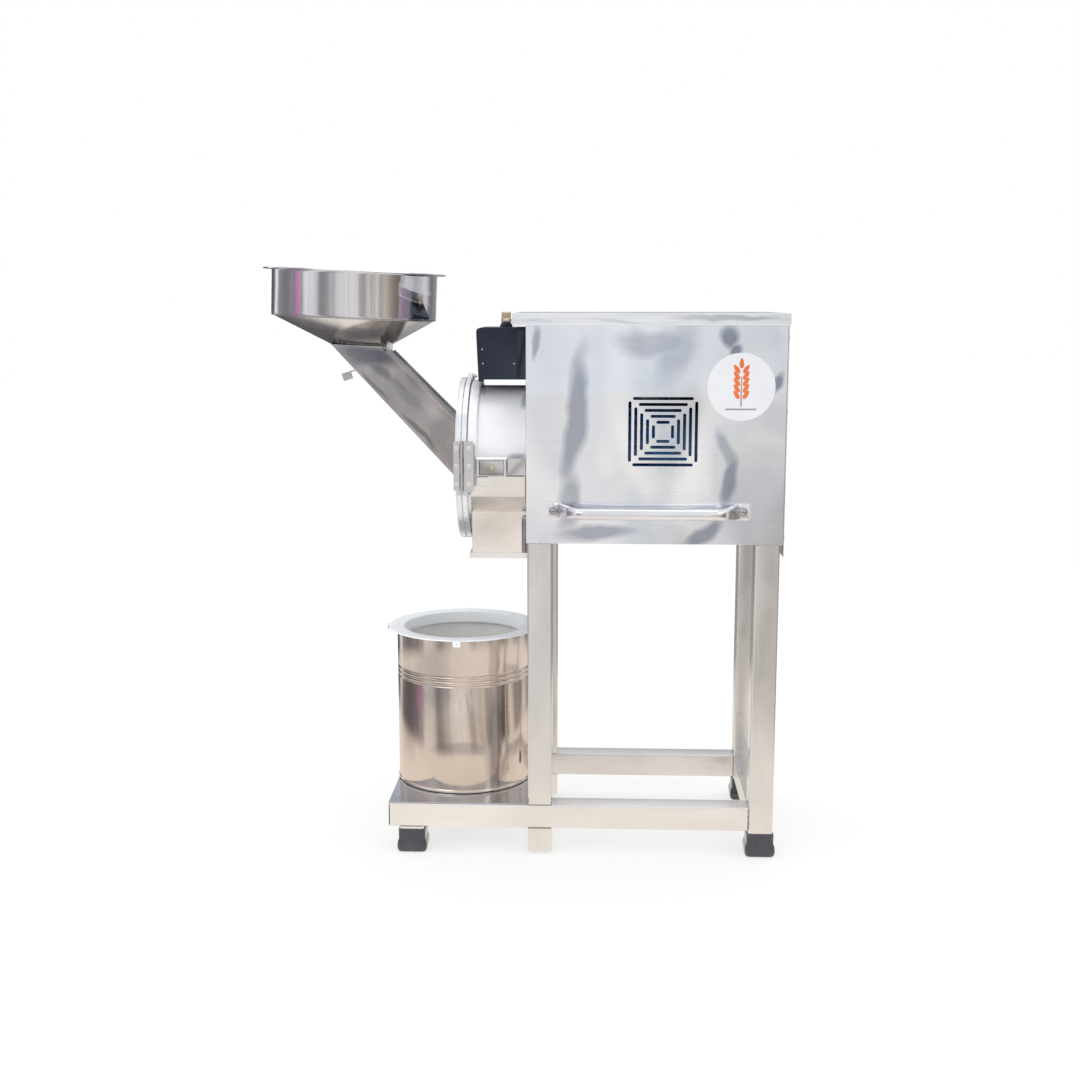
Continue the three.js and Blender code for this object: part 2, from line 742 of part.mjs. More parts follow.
function drumShell() {
  const right = BOX_LEFT - GAP;
  const shell = turned('x', [
    [DRUM_LEFT, DRUM_BORE],
    [DRUM_LEFT, DRUM_RADIUS + GAP],
    [FLANGE_RIGHT + GAP, DRUM_RADIUS + GAP],
    [FLANGE_RIGHT + GAP, COLLAR_RADIUS],
    [COLLAR_RIGHT, COLLAR_RADIUS],
    [COLLAR_RIGHT, DRUM_RADIUS],
    [right, DRUM_RADIUS],
    [right, DRUM_BORE],
  ], ROUND_LARGE);
  const reach = 2 * COLLAR_RADIUS;
  const below = block([-reach, reach], [-reach, reach], [-reach, -SPLIT_BELOW_AXIS]);
  return part('drum_shell', cut(solid(shell), solid(below)), polishedSteel());
}

function lug(x) {
  return solid(block(x, [FLANGE_RADIUS - LUG_ROOT, LUG_OUTER_Y], [-LUG_HALF, LUG_HALF]));
}

function drumFlange() {
  const inner = DRUM_BORE - 2;
  const body = turned('x', [
    [FLANGE_LEFT, inner],
    [FLANGE_LEFT, FLANGE_RADIUS],
    [FLANGE_RIGHT, FLANGE_RADIUS],
    [FLANGE_RIGHT, DRUM_RADIUS],
    [DRUM_LEFT - GAP, DRUM_RADIUS],
    [DRUM_LEFT - GAP, inner],
  ], ROUND_LARGE);
  const studHole = rod('x', KNOB_STUD + STUD_PLAY, [FLANGE_LEFT - OVERCUT, FLANGE_RIGHT + OVERCUT]);
  studHole.translate(0, KNOB_Y, 0);
  const { left, right, half, rise, root } = TOP_LUG;
  const topLug = block([left, right], [-half, half], [FLANGE_RADIUS - root, FLANGE_RADIUS + rise]);
  const clearOfDrum = ring('x', 1, COLLAR_RADIUS + GAP, [FLANGE_RIGHT, right + 1]);
  const eye = cut(solid(topLug), solid(clearOfDrum));
  const flange = join(solid(body), lug([FLANGE_LEFT, FLANGE_RIGHT]), eye);
  return part('drum_flange', cut(flange, solid(studHole)), polishedSteel());
}

function backPlate() {
  const span = [DUCT_RIGHT + GAP, BOX_LEFT - GAP];
  const plate = ring('x', SHAFT_RADIUS + SHAFT_CLEARANCE, DRUM_BORE - GAP, span);
  return part('back_plate', solid(plate), innerSteel());
}

// The upper half of the chamber is lined with a toothed plate. Its teeth take about half of each step.
function wearLiner() {
  const halfOpening = SCREEN_HALF_ANGLE + LINER_CLEARANCE;
  const from = -90 + halfOpening;
  const to = 270 - halfOpening;
  const step = (to - from) / LINER_TEETH;
  const valley = LINER_INNER + LINER_TOOTH;
  const inner = [];
  for (let i = 0; i < LINER_TEETH; i += 1) {
    const start = from + i * step;
    inner.push(...arcPoints(LINER_INNER, start, start + step * 0.45, 1));
    inner.push(...arcPoints(valley, start + step * 0.55, start + step * 0.95, 1));
  }
  inner.push(pointOnCircle(valley, to));
  const outer = arcPoints(LINER_OUTER, to, from, 24);
  const liner = prism('x', [...inner, ...outer], [INNER_LEFT, INNER_RIGHT]);
  return part('wear_liner', solid(liner), forgedSteel());
}

function screen() {
  const from = -90 - SCREEN_HALF_ANGLE;
  const to = -90 + SCREEN_HALF_ANGLE;
  const span = [INNER_LEFT, INNER_RIGHT];
  const inner = arcPoints(SCREEN_RADIUS, from, to, 12);
  const outer = arcPoints(SCREEN_RADIUS + SCREEN_THICK, to, from, 12);
  const holeSpan = [-SCREEN_RADIUS - OVERCUT, -SCREEN_RADIUS + OVERCUT];
  const holes = [];
  for (let column = 0; column < SCREEN_COLUMNS; column += 1) {
    const share = column / (SCREEN_COLUMNS - 1);
    const angle = degrees(SCREEN_HOLE_ANGLE * (2 * share - 1));
    for (let row = 0; row < SCREEN_ROWS; row += 1) {
      const x = span[0] + ((row + 0.5) * (span[1] - span[0])) / SCREEN_ROWS;
      const hole = rod('z', SCREEN_HOLE, holeSpan, 4);
      holes.push(solid(hole.rotateX(angle).translate(x, 0, 0)));
    }
  }
  return part('screen', cut(solid(prism('x', [...inner, ...outer], span)), ...holes), innerSteel());
}

// The lower half of the chamber: flat sides that fold in to a rectangular outlet with a flange.
function outletDuct() {
  const top = -SPLIT_BELOW_AXIS - GAP;
  const profile = (inset, low) => {
    const half = [
      [DUCT_OUTLET_HALF - inset, fromAxis(low)],
      [DUCT_OUTLET_HALF - inset, fromAxis(DUCT_LOWER_BEND)],
      [DUCT_BEND_HALF - inset, fromAxis(DUCT_UPPER_BEND)],
      [DUCT_TOP_HALF - inset, top + (inset ? OVERCUT : 0)],
    ];
    const mirrored = half.map(([y, z]) => [-y, z]).reverse();
    return [...half, ...mirrored];
  };
  const outer = prism('x', profile(0, DUCT_BOTTOM), [DUCT_LEFT, DUCT_RIGHT]);
  const inner = prism('x', profile(SHEET, DUCT_BOTTOM - OVERCUT), [DUCT_LEFT + SHEET, DUCT_RIGHT - SHEET]);
  const rim = block(
    [DUCT_LEFT - DUCT_FLANGE_WIDTH, BOX_LEFT - GAP],
    [-DUCT_OUTLET_HALF - DUCT_FLANGE_WIDTH, DUCT_OUTLET_HALF + DUCT_FLANGE_WIDTH],
    [fromAxis(DUCT_BOTTOM), fromAxis(DUCT_FLANGE_TOP)],
  );
  const bore = rod('x', DRUM_BORE - SHEET / 3, [DUCT_LEFT - OVERCUT, DUCT_RIGHT + OVERCUT], ROUND_LARGE);
  const body = cut(join(solid(outer), solid(rim)), solid(inner), solid(bore));
  return part('outlet_duct', body, polishedSteel());
}

// A folded channel on the operator's side that clamps the drum's two halves.
function clampBracket() {
  const [x0, x1] = CLAMP.x;
  const [z0, z1] = [-SPLIT_BELOW_AXIS + GAP, CLAMP.top];
  const [sideWall, edgeWall] = CLAMP.wall;
  const body = block(CLAMP.x, CLAMP.y, [z0, z1]);
  const pocket = block(
    [x0 + sideWall, x1 - sideWall],
    [CLAMP.y[0] - OVERCUT, CLAMP.floor],
    [z0 + edgeWall, z1 - edgeWall],
  );
  const drum = rod('x', DRUM_RADIUS + GAP, [x0 - OVERCUT, x1 + OVERCUT], ROUND_LARGE);
  return part('clamp_bracket', cut(solid(body), solid(pocket), solid(drum)), polishedSteel());
}

function chamber() {
  return group(
    drumShell(),
    drumFlange(),
    backPlate(),
    wearLiner(),
    screen(),
    outletDuct(),
    clampBracket(),
  );
}

// Rotor with its swinging hammers, in the frame of the mill axis

function rotorSpool() {
  const innerLeft = ROTOR_LEFT + ROTOR_PLATE;
  const innerRight = ROTOR_RIGHT - ROTOR_PLATE;
  const spool = turned('x', [
    [ROTOR_LEFT, SHAFT_RADIUS + GAP],
    [ROTOR_LEFT, ROTOR_PLATE_RADIUS],
    [innerLeft, ROTOR_PLATE_RADIUS],
    [innerLeft, ROTOR_HUB],
    [innerRight, ROTOR_HUB],
    [innerRight, ROTOR_PLATE_RADIUS],
    [ROTOR_RIGHT, ROTOR_PLATE_RADIUS],
    [ROTOR_RIGHT, SHAFT_RADIUS + GAP],
  ], ROUND_LARGE);
  const holes = PIN_ANGLES.map((angle) => {
    const hole = rod('x', PIN_RADIUS + GAP, [ROTOR_LEFT - OVERCUT, ROTOR_RIGHT + OVERCUT]);
    const [y, z] = pointOnCircle(PIN_CIRCLE, angle);
    return solid(hole.translate(0, y, z));
  });
  return part('rotor_spool', cut(solid(spool), ...holes), forgedSteel());
}

function hammerPin(name) {
  const span = [ROTOR_LEFT - PIN_ENDS, ROTOR_RIGHT + PIN_ENDS];
  return part(name, solid(rod('x', PIN_RADIUS, span)), innerSteel());
}

// A flat bar that hangs from its pin.
function hammer(name, station) {
  const top = HAMMER_HALF_WIDTH;
  const span = [station - HAMMER_THICK / 2, station + HAMMER_THICK / 2];
  const corner = HAMMER_CORNER;
  const outline = [
    [-HAMMER_HALF_WIDTH, -HAMMER_LENGTH],
    [HAMMER_HALF_WIDTH, -HAMMER_LENGTH],
    [HAMMER_HALF_WIDTH, top - corner],
    [HAMMER_HALF_WIDTH - corner, top],
    [-HAMMER_HALF_WIDTH + corner, top],
    [-HAMMER_HALF_WIDTH, top - corner],
  ];
  const eye = rod('x', PIN_RADIUS + HAMMER_PLAY, [span[0] - OVERCUT, span[1] + OVERCUT]);
  return part(name, cut(solid(prism('x', outline, span)), solid(eye)), forgedSteel());
}

function rotor() {
  const pieces = [rotorSpool()];
  PIN_ANGLES.forEach((angle, i) => {
    const [y, z] = pointOnCircle(PIN_CIRCLE, angle);
    pieces.push(place(hammerPin(`hammer_pin_${i + 1}`), 0, y, z));
    pieces.push(place(hammer(`hammer_${i + 1}`, HAMMER_STATIONS[i % 2]), 0, y, z));
  });
  return group(...pieces);
}

// Door, in the frame of the mill axis

function doorPlate() {
  const [rimWidth, dishEdge] = DOOR_RIM;
  const dish = turned('x', [
    [DOOR_LEFT, 0],
    [DOOR_LEFT, FLANGE_RADIUS - DOOR_CHAMFER],
    [DOOR_LEFT + DOOR_CHAMFER, FLANGE_RADIUS],
    [DOOR_RIGHT, FLANGE_RADIUS],
    [DOOR_RIGHT, FLANGE_RADIUS - rimWidth],
    [DOOR_LEFT + DOOR_PLATE, FLANGE_RADIUS - dishEdge],
    [DOOR_LEFT + DOOR_PLATE, 0],
  ], ROUND_LARGE);
  const inset = SHEET + 0.5;
  const feed = block(
    [DOOR_LEFT - OVERCUT, DOOR_RIGHT],
    [-CHUTE_HALF_WIDTH + inset, CHUTE_HALF_WIDTH - inset],
    [fromAxis(CHUTE_END_BOTTOM.y) + inset, fromAxis(CHUTE_END_TOP.y) - inset],
  );
  const studHole = rod('x', KNOB_STUD + STUD_PLAY, [DOOR_LEFT - OVERCUT, DOOR_RIGHT + OVERCUT]);
  studHole.translate(0, KNOB_Y, 0);
  const plate = join(solid(dish), lug([DOOR_LEFT, DOOR_RIGHT]));
  return part('door_plate', cut(plate, solid(feed), solid(studHole)), polishedSteel());
}

function doorGasket() {
  const span = [DOOR_LEFT + DOOR_PLATE + GAP, DOOR_RIGHT - GASKET.squeeze];
  return part('door_gasket', solid(ring('x', GASKET.inner, GASKET.outer, span)), blackRubber());
}

// Each hinge leaf is a plate on a packing block that follows the round rims behind it.
function hingeLeafDoor() {
  const [low, high] = [fromAxis(HINGE_LOW), fromAxis(HINGE_HIGH)];
  const third = (high - low) / 3;
  const knuckle = [low + third, high - third];
  const { y, inset, doorRight } = HINGE_PACKING;
  const plate = block([HINGE_DOOR_EDGE, HINGE_X - HINGE_REACH], HINGE_PLATE, [low, high]);
  const packing = block([DOOR_LEFT + 0.5, doorRight], y, [low + inset, high - inset]);
  const arm = block([doorRight, HINGE_X], HINGE_ARM, knuckle);
  const barrel = rod('z', HINGE_BARREL, knuckle).translate(HINGE_X, HINGE_Y, 0);
  const bore = rod('z', HINGE_PIN + GAP, [low, high]).translate(HINGE_X, HINGE_Y, 0);
  const rim = rod('x', FLANGE_RADIUS + GAP, HINGE_RIM_CUT, ROUND_LARGE);
  const body = join(solid(plate), solid(packing), solid(arm), solid(barrel));
  return part('hinge_leaf_door', cut(body, solid(bore), solid(rim)), polishedSteel());
}

function hingeLeafBody() {
  const [low, high] = [fromAxis(HINGE_LOW), fromAxis(HINGE_HIGH)];
  const third = (high - low) / 3;
  const ends = [[low, low + third - GAP], [high - third + GAP, high]];
  const left = HINGE_X + HINGE_REACH;
  const { y, inset, bodyRight } = HINGE_PACKING;
  const plate = block([left, HINGE_BODY_EDGE], HINGE_PLATE, [low, high]);
  const packing = block([left, bodyRight], y, [low + inset, high - inset]);
  const barrels = ends.map((span) => solid(rod('z', HINGE_BARREL, span).translate(HINGE_X, HINGE_Y, 0)));
  const arms = ends.map((span) => solid(block([HINGE_X, left + 1], HINGE_ARM, span)));
  const [below, above] = PIN_OVERHANG;
  const pin = rod('z', HINGE_PIN, [low - below, high + above]).translate(HINGE_X, HINGE_Y, 0);
  const keeper = block(HINGE_KEEPER.x, HINGE_KEEPER.y, [low - HINGE_KEEPER.drop, low - GAP]);
  const rim = rod('x', FLANGE_RADIUS + GAP, [HINGE_RIM_CUT[0], FLANGE_RIGHT + GAP], ROUND_LARGE);
  const collar = rod('x', COLLAR_RADIUS + GAP, HINGE_RIM_CUT, ROUND_LARGE);
  const body = join(solid(plate), solid(packing), ...arms, ...barrels, solid(pin), solid(keeper));
  return part('hinge_leaf_body', cut(body, solid(rim), solid(collar)), polishedSteel());
}

// A ribbed hand knob on a stud that holds the door against the flange.
function doorKnob() {
  const { count, high, low } = KNOB_RIDGES;
  const head = [];
  for (let i = 0; i < count; i += 1) {
    head.push(pointOnCircle(i % 2 ? high : low, (i * 360) / count));
  }
  const grip = solid(prism('x', head, KNOB_GRIP));
  const boss = solid(rod('x', KNOB_BOSS, [KNOB_GRIP[1] - 1, DOOR_LEFT - GAP]));
  const stud = solid(rod('x', KNOB_STUD, [KNOB_GRIP[0] + 10, FLANGE_RIGHT + 3]));
  return place(part('door_knob', join(grip, boss, stud), blackRubber()), 0, KNOB_Y, 0);
}

function door() {
  return group(doorPlate(), doorGasket(), hingeLeafDoor(), hingeLeafBody(), doorKnob());
}

// Feed chute and gate

function shiftedEdge(from, to, distance, stretch) {
  const along = to.clone().sub(from).normalize();
  const across = new THREE.Vector2(-along.y, along.x).multiplyScalar(distance);
  const start = from.clone().addScaledVector(along, -stretch).add(across);
  const end = to.clone().addScaledVector(along, stretch).add(across);
  return [start.toArray(), end.toArray()];
}

function feedChute() {
  const corners = [CHUTE_TOP_LEFT, CHUTE_TOP_RIGHT, CHUTE_SHOULDER, CHUTE_END_TOP, CHUTE_END_BOTTOM];
  const outline = corners.map((corner) => corner.toArray());
  const lower = shiftedEdge(CHUTE_TOP_LEFT, CHUTE_END_BOTTOM, SHEET, 3 * OVERCUT);
  const neck = shiftedEdge(CHUTE_TOP_RIGHT, CHUTE_SHOULDER, -SHEET, 3 * OVERCUT);
  const upper = shiftedEdge(CHUTE_SHOULDER, CHUTE_END_TOP, -SHEET, 3 * OVERCUT);
  const outer = prism('y', outline, [-CHUTE_HALF_WIDTH, CHUTE_HALF_WIDTH]);
  const innerHalf = CHUTE_HALF_WIDTH - SHEET;
  const innerShoulder = [CHUTE_SHOULDER.x - SHEET, CHUTE_SHOULDER.y - SHEET * Math.tan(Math.PI / 8)];
  const inner = prism('y', [lower[0], neck[0], innerShoulder, upper[1], lower[1]], [-innerHalf, innerHalf]);
  const slotHalf = GATE_HALF_WIDTH + GATE_CLEARANCE;
  const slotRise = GATE_THICK / 2 + GATE_CLEARANCE;
  const slot = block([-2 * OVERCUT, 2 * OVERCUT], [-slotHalf, slotHalf], [-slotRise, slotRise]);
  slot.rotateY(-GATE_SLOPE).translate(GATE_X, 0, GATE_Z);
  const ridgeTop = shiftedEdge(CHUTE_SHOULDER, CHUTE_END_TOP, RIDGE_HEIGHT, -RIDGE_INSET);
  const ridgeFoot = shiftedEdge(CHUTE_SHOULDER, CHUTE_END_TOP, -SHEET / 3, -RIDGE_INSET);
  const ridge = [ridgeFoot[0], ridgeTop[0], ridgeTop[1], ridgeFoot[1]];
  const ridgeSpans = [[-CHUTE_HALF_WIDTH, -innerHalf], [innerHalf, CHUTE_HALF_WIDTH]];
  const ridges = ridgeSpans.map((span) => solid(prism('y', ridge, span)));
  return part('feed_chute', cut(join(solid(outer), ...ridges), solid(inner), solid(slot)), polishedSteel());
}

// A flat slide that shuts the chute, with a neck and a folded finger tab outside.
function feedGate() {
  const half = GATE_THICK / 2;
  const plate = solid(block(GATE_PLATE, [-GATE_HALF_WIDTH, GATE_HALF_WIDTH], [-half, half]));
  const neck = solid(block(GATE_NECK.x, [-GATE_NECK.half, GATE_NECK.half], [-half, half]));
  const tab = solid(block(GATE_TAB.x, GATE_TAB.y, [-GATE_TAB.drop, half]));
  const mesh = part('feed_gate', join(plate, neck, tab), innerSteel());
  mesh.rotation.y = -GATE_SLOPE;
  return place(mesh, GATE_X, 0, GATE_Z);
}

// Hopper

// A square-to-round transition: a fan of facets from each throat corner, and a flat triangle on each side.
// The outer skin comes first, then the same points moved inward, and rims join the two.
function coneShell(throat, mouth, thickness) {
  const corners = throat.length;
  const perCorner = mouth.length / corners;
  const skin = [...throat, ...mouth];
  const inward = (p, points) => {
    const centre = points.reduce((sum, q) => sum.add(q), new THREE.Vector3()).divideScalar(points.length);
    const radial = p.clone().sub(centre);
    return centre.clone().add(radial.multiplyScalar(1 - thickness / radial.length())).setZ(p.z);
  };
  const inner = [...throat.map((p) => inward(p, throat)), ...mouth.map((p) => inward(p, mouth))];
  const count = skin.length;
  const index = [];
  const both = (a, b, c) => index.push(a, b, c, count + a, count + c, count + b);
  for (let corner = 0; corner < corners; corner += 1) {
    const next = (corner + 1) % corners;
    for (let i = 0; i < perCorner; i += 1) {
      const from = corners + corner * perCorner + i;
      const to = corners + ((corner * perCorner + i + 1) % mouth.length);
      both(corner, to, from);
      index.push(from, to, count + to, from, count + to, count + from);
    }
    const shared = corners + ((next * perCorner) % mouth.length);
    both(corner, next, shared);
    index.push(next, corner, count + corner, next, count + corner, count + next);
  }
  const geometry = new THREE.BufferGeometry().setFromPoints([...skin, ...inner]);
  geometry.setIndex(index);
  return geometry;
}

function hopperCone() {
  const { halfX, halfY } = HOPPER_THROAT;
  const throat = [[halfX, halfY], [-halfX, halfY], [-halfX, -halfY], [halfX, -halfY]];
  const mouth = [];
  for (let i = 0; i < ROUND_LARGE; i += 1) {
    const [u, v] = pointOnCircle(HOPPER_RADIUS - SHEET / 3, (360 * i) / ROUND_LARGE);
    mouth.push(new THREE.Vector3(HOPPER_OFFSET + u, v, HOPPER_CONE_HEIGHT));
  }
  const corners = throat.map(([x, y]) => new THREE.Vector3(x, y, 0));
  return part('hopper_cone', solid(coneShell(corners, mouth, HOPPER_CONE_WALL)), polishedSteel());
}

function hopperBasin() {
  const inner = HOPPER_RADIUS - SHEET;
  const bottom = HOPPER_CONE_HEIGHT + GAP;
  const basin = turned('z', [
    [bottom, inner - HOPPER_HEEL.inset],
    [bottom, HOPPER_RADIUS - HOPPER_HEEL.inset],
    [bottom + HOPPER_HEEL.rise, HOPPER_RADIUS],
    [HOPPER_HEIGHT - SHEET, HOPPER_RADIUS],
    [HOPPER_HEIGHT - SHEET, HOPPER_FLANGE],
    [HOPPER_HEIGHT, HOPPER_FLANGE],
    [HOPPER_HEIGHT, inner],
    [bottom + HOPPER_HEEL.rise, inner],
  ], ROUND_LARGE);
  return place(part('hopper_basin', solid(basin), polishedSteel()), HOPPER_OFFSET, 0, 0);
}

function hopper() {
  const result = place(group(hopperCone(), hopperBasin()), HOPPER_X, 0, HOPPER_Z);
  result.rotation.y = HOPPER_LEAN;
  return result;
}

// Starter

function starterHousing() {
  const right = BOX_LEFT - GAP;
  const corner = arcPoints(STARTER_CORNER, 90, 180, 2).map(([u, v]) => [
    STARTER_LEFT + STARTER_CORNER + u,
    STARTER_TOP - STARTER_CORNER + v,
  ]);
  const outline = [
    [STARTER_LEFT + STARTER_TAPER, STARTER_BOTTOM],
    [right, STARTER_BOTTOM],
    [right, STARTER_TOP],
    ...corner,
  ];
  const body = solid(prism('y', outline, [-STARTER_HALF_DEPTH, STARTER_HALF_DEPTH]));
  const socketSpan = [STARTER_LEFT - OVERCUT, STARTER_LEFT + BUTTON_DEPTH + SOCKET_BEYOND];
  const sockets = Object.values(BUTTON_Z).map((z) => {
    const socket = rod('x', BUTTON_RADIUS + BUTTON_PLAY, socketSpan, ROUND_MEDIUM);
    return solid(socket.translate(0, 0, z));
  });
  const { radii, step, height } = GLAND_SEAT;
  const seat = turned('z', [
    [STARTER_TOP - 1, 0],
    [STARTER_TOP - 1, radii[0]],
    [STARTER_TOP + step, radii[1]],
    [STARTER_TOP + height, radii[2]],
    [STARTER_TOP + height, 0],
  ], ROUND_SMALL);
  seat.translate(GLAND_X, GLAND_Y, 0);
  return part('starter_housing', cut(join(body, solid(seat)), ...sockets), starterPlastic());
}

function pushButton(name, z, color) {
  const left = STARTER_LEFT + BUTTON_RECESS;
  const span = [left, left + BUTTON_DEPTH];
  const cap = turned('x', [
    [span[0], 0],
    [span[0], BUTTON_RADIUS - 1],
    [span[0] + 1, BUTTON_RADIUS],
    [span[1], BUTTON_RADIUS],
    [span[1], 0],
  ], ROUND_MEDIUM);
  return place(part(name, solid(cap), finish(color, 0.4, 0)), 0, 0, z);
}

function cableGland() {
  const bottom = STARTER_TOP + GLAND_SEAT.height + GAP;
  const skirtTop = bottom + GLAND_SKIRT.height;
  const { radii, top, bore } = GLAND_NUT;
  const skirt = rod('z', GLAND_SKIRT.radius, [bottom, skirtTop], 6);
  const nut = turned('z', [
    [skirtTop - 1, 0],
    [skirtTop - 1, radii[0]],
    [bottom + top[0], radii[1]],
    [bottom + top[1], radii[2]],
    [bottom + top[1], 0],
  ], ROUND_SMALL);
  const hole = rod('z', bore, [bottom + bore, bottom + top[1] + OVERCUT]);
  const body = cut(join(solid(skirt), solid(nut)), solid(hole));
  return place(part('cable_gland', body, brass()), GLAND_X, GLAND_Y, 0);
}

function starter() {
  return group(
    starterHousing(),
    pushButton('start_button', BUTTON_Z.start_button, 0x1f8a3c),
    pushButton('stop_button', BUTTON_Z.stop_button, 0xb3201c),
    cableGland(),
  );
}

// Container, in a frame of its own that stands on the platform

function containerBody() {
  const inner = CONTAINER_RADIUS - SHEET;
  const beads = CONTAINER_BEADS.flatMap((z) => [
    [z - BEAD_HALF, CONTAINER_RADIUS],
    [z, CONTAINER_RADIUS - BEAD_DEPTH],
    [z + BEAD_HALF, CONTAINER_RADIUS],
  ]);
  const { middle, bulge } = BASE_FOLD;
  const wall = turned('z', [
    [0, 0],
    [0, CONTAINER_RADIUS],
    [middle, CONTAINER_RADIUS + bulge],
    [2 * middle, CONTAINER_RADIUS],
    ...beads,
    [CONTAINER_HEIGHT, CONTAINER_RADIUS],
    [CONTAINER_HEIGHT, inner],
    [SHEET, inner],
    [SHEET, 0],
  ], ROUND_LARGE);
  return part('container_body', solid(wall), polishedSteel());
}

function containerRing() {
  const bottom = CONTAINER_HEIGHT + GAP;
  const top = bottom + RING_THICK;
  const body = turned('z', [
    [bottom, RING_INNER + SHEET],
    [bottom, RING_OUTER],
    [top, RING_OUTER],
    [top, RING_INNER],
    [top - RING_NECK, RING_INNER],
    [top - RING_NECK, RING_INNER + SHEET],
  ], ROUND_LARGE);
  const { root, reach, half, thick, drop } = TAB;
  const end = RING_OUTER + reach;
  const tabs = RING_TABS.map((angle) => {
    const shelf = block([RING_OUTER - root, end], [-half, half], [bottom, top]);
    const fold = block([end - thick, end], [-half, half], [bottom - drop, top]);
    return join(solid(shelf.rotateZ(degrees(angle))), solid(fold.rotateZ(degrees(angle))));
  });
  return part('container_ring', join(solid(body), ...tabs), whiteMetal());
}

function container() {
  const floor = BEAM_TOP + GAP + SHEET + GAP;
  return place(group(containerBody(), containerRing()), CONTAINER_X, 0, floor);
}

const onMillAxis = place(group(motor(), chamber(), rotor(), door()), 0, 0, AXIS_Z);
const hammerMill = group(
  stand(),
  box(),
  onMillAxis,
  feedChute(),
  feedGate(),
  hopper(),
  starter(),
  container(),
);

export default hammerMill;
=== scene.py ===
import math
import random

import bmesh
import bpy
from mathutils import Matrix, Vector


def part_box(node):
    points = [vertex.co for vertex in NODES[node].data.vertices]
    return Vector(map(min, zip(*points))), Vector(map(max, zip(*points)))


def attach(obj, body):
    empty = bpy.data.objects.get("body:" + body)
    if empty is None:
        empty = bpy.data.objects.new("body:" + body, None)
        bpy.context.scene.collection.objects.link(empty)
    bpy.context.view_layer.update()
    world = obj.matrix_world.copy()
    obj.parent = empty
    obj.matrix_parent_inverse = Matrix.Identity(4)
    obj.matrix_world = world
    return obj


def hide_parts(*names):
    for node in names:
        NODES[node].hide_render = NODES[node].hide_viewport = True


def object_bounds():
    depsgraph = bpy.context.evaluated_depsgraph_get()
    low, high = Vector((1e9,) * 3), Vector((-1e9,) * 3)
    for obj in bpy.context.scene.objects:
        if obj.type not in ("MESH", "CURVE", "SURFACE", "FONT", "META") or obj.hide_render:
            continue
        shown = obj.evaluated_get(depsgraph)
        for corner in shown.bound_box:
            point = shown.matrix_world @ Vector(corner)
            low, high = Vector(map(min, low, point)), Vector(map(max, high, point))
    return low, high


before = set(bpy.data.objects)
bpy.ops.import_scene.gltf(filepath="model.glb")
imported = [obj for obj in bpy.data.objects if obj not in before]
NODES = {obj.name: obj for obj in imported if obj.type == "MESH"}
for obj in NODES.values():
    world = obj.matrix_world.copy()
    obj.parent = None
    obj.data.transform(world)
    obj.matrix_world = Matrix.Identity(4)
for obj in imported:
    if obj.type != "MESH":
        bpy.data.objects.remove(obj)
CAD_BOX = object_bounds()
MM = 0.001

# Camera


def make_camera():
    data = bpy.data.cameras.new("camera")
    data.sensor_width = 36
    data.lens = 48.49
    camera = bpy.data.objects.new("camera", data)
    camera.location = (0.1359, -2.4491, 0.9022)
    camera.rotation_euler = (math.pi / 2 - 0.1625, 0, 0.0425)
    bpy.context.scene.collection.objects.link(camera)
    bpy.context.scene.camera = camera


# Node trees


class Tree:
    """A node tree with short calls: add() makes a node, and named inputs take values or sockets."""

    def __init__(self, tree):
        self.tree = tree
        self.tree.nodes.clear()

    def add(self, kind, inputs=None, **settings):
        node = self.tree.nodes.new("ShaderNode" + kind)
        for key, value in settings.items():
            setattr(node, key, value)
        for key, value in (inputs or {}).items():
            socket = node.inputs[key]
            if isinstance(value, bpy.types.NodeSocket):
                self.tree.links.new(value, socket)
            else:
                socket.default_value = value
        return node

    def noise(self, vector, scale, detail=2.0, rough=0.5, distortion=0.0):
        inputs = {"Vector": vector, "Scale": scale, "Detail": detail, "Roughness": rough, "Distortion": distortion}
        return self.add("TexNoise", inputs).outputs["Fac"]

    def remap(self, value, low, high, new_low, new_high):
        inputs = {"Value": value, "From Min": low, "From Max": high, "To Min": new_low, "To Max": new_high}
        return self.add("MapRange", inputs).outputs["Result"]

    def math(self, operation, a, b=0.0):
        return self.add("Math", {0: a, 1: b}, operation=operation).outputs[0]

    def mix(self, factor, a, b, blend="MIX"):
        node = self.add("Mix", data_type="RGBA", blend_type=blend)
        for index, value in ((0, factor), (6, a), (7, b)):
            if isinstance(value, bpy.types.NodeSocket):
                self.tree.links.new(value, node.inputs[index])
            else:
                node.inputs[index].default_value = value
        return node.outputs[2]

    def stretch(self, vector, scale):
        return self.add("Mapping", {"Vector": vector, "Scale": scale}).outputs["Vector"]

    def bump(self, height, strength, distance, normal=None):
        inputs = {"Height": height, "Strength": strength, "Distance": distance}
        if normal is not None:
            inputs["Normal"] = normal
        return self.add("Bump", inputs).outputs["Normal"]


def rgba(color):
    return (*color, 1.0)


def new_material(name):
    material = bpy.data.materials.new(name)
    material.use_nodes = True
    tree = Tree(material.node_tree)
    coords = tree.add("TexCoord").outputs["Object"]
    return material, tree, coords


def close_material(tree, inputs):
    shader = tree.add("BsdfPrincipled", inputs)
    output = tree.add("OutputMaterial")
    tree.tree.links.new(shader.outputs["BSDF"], output.inputs["Surface"])


def rubbed_and_shining_edges(tree, low=0.52, high=0.6):
    """1 on outer edges and corners, 0 on flats: rubbed edges where coated uses it, a painted highlight where steel uses
    it.
    """
    pointiness = tree.add("NewGeometry").outputs["Pointiness"]
    return tree.remap(pointiness, low, high, 0.0, 1.0)


GRAIN = {"x": (7, 1100, 1100), "y": (1100, 7, 1100), "z": (1100, 1100, 7), "none": (260, 260, 260)}


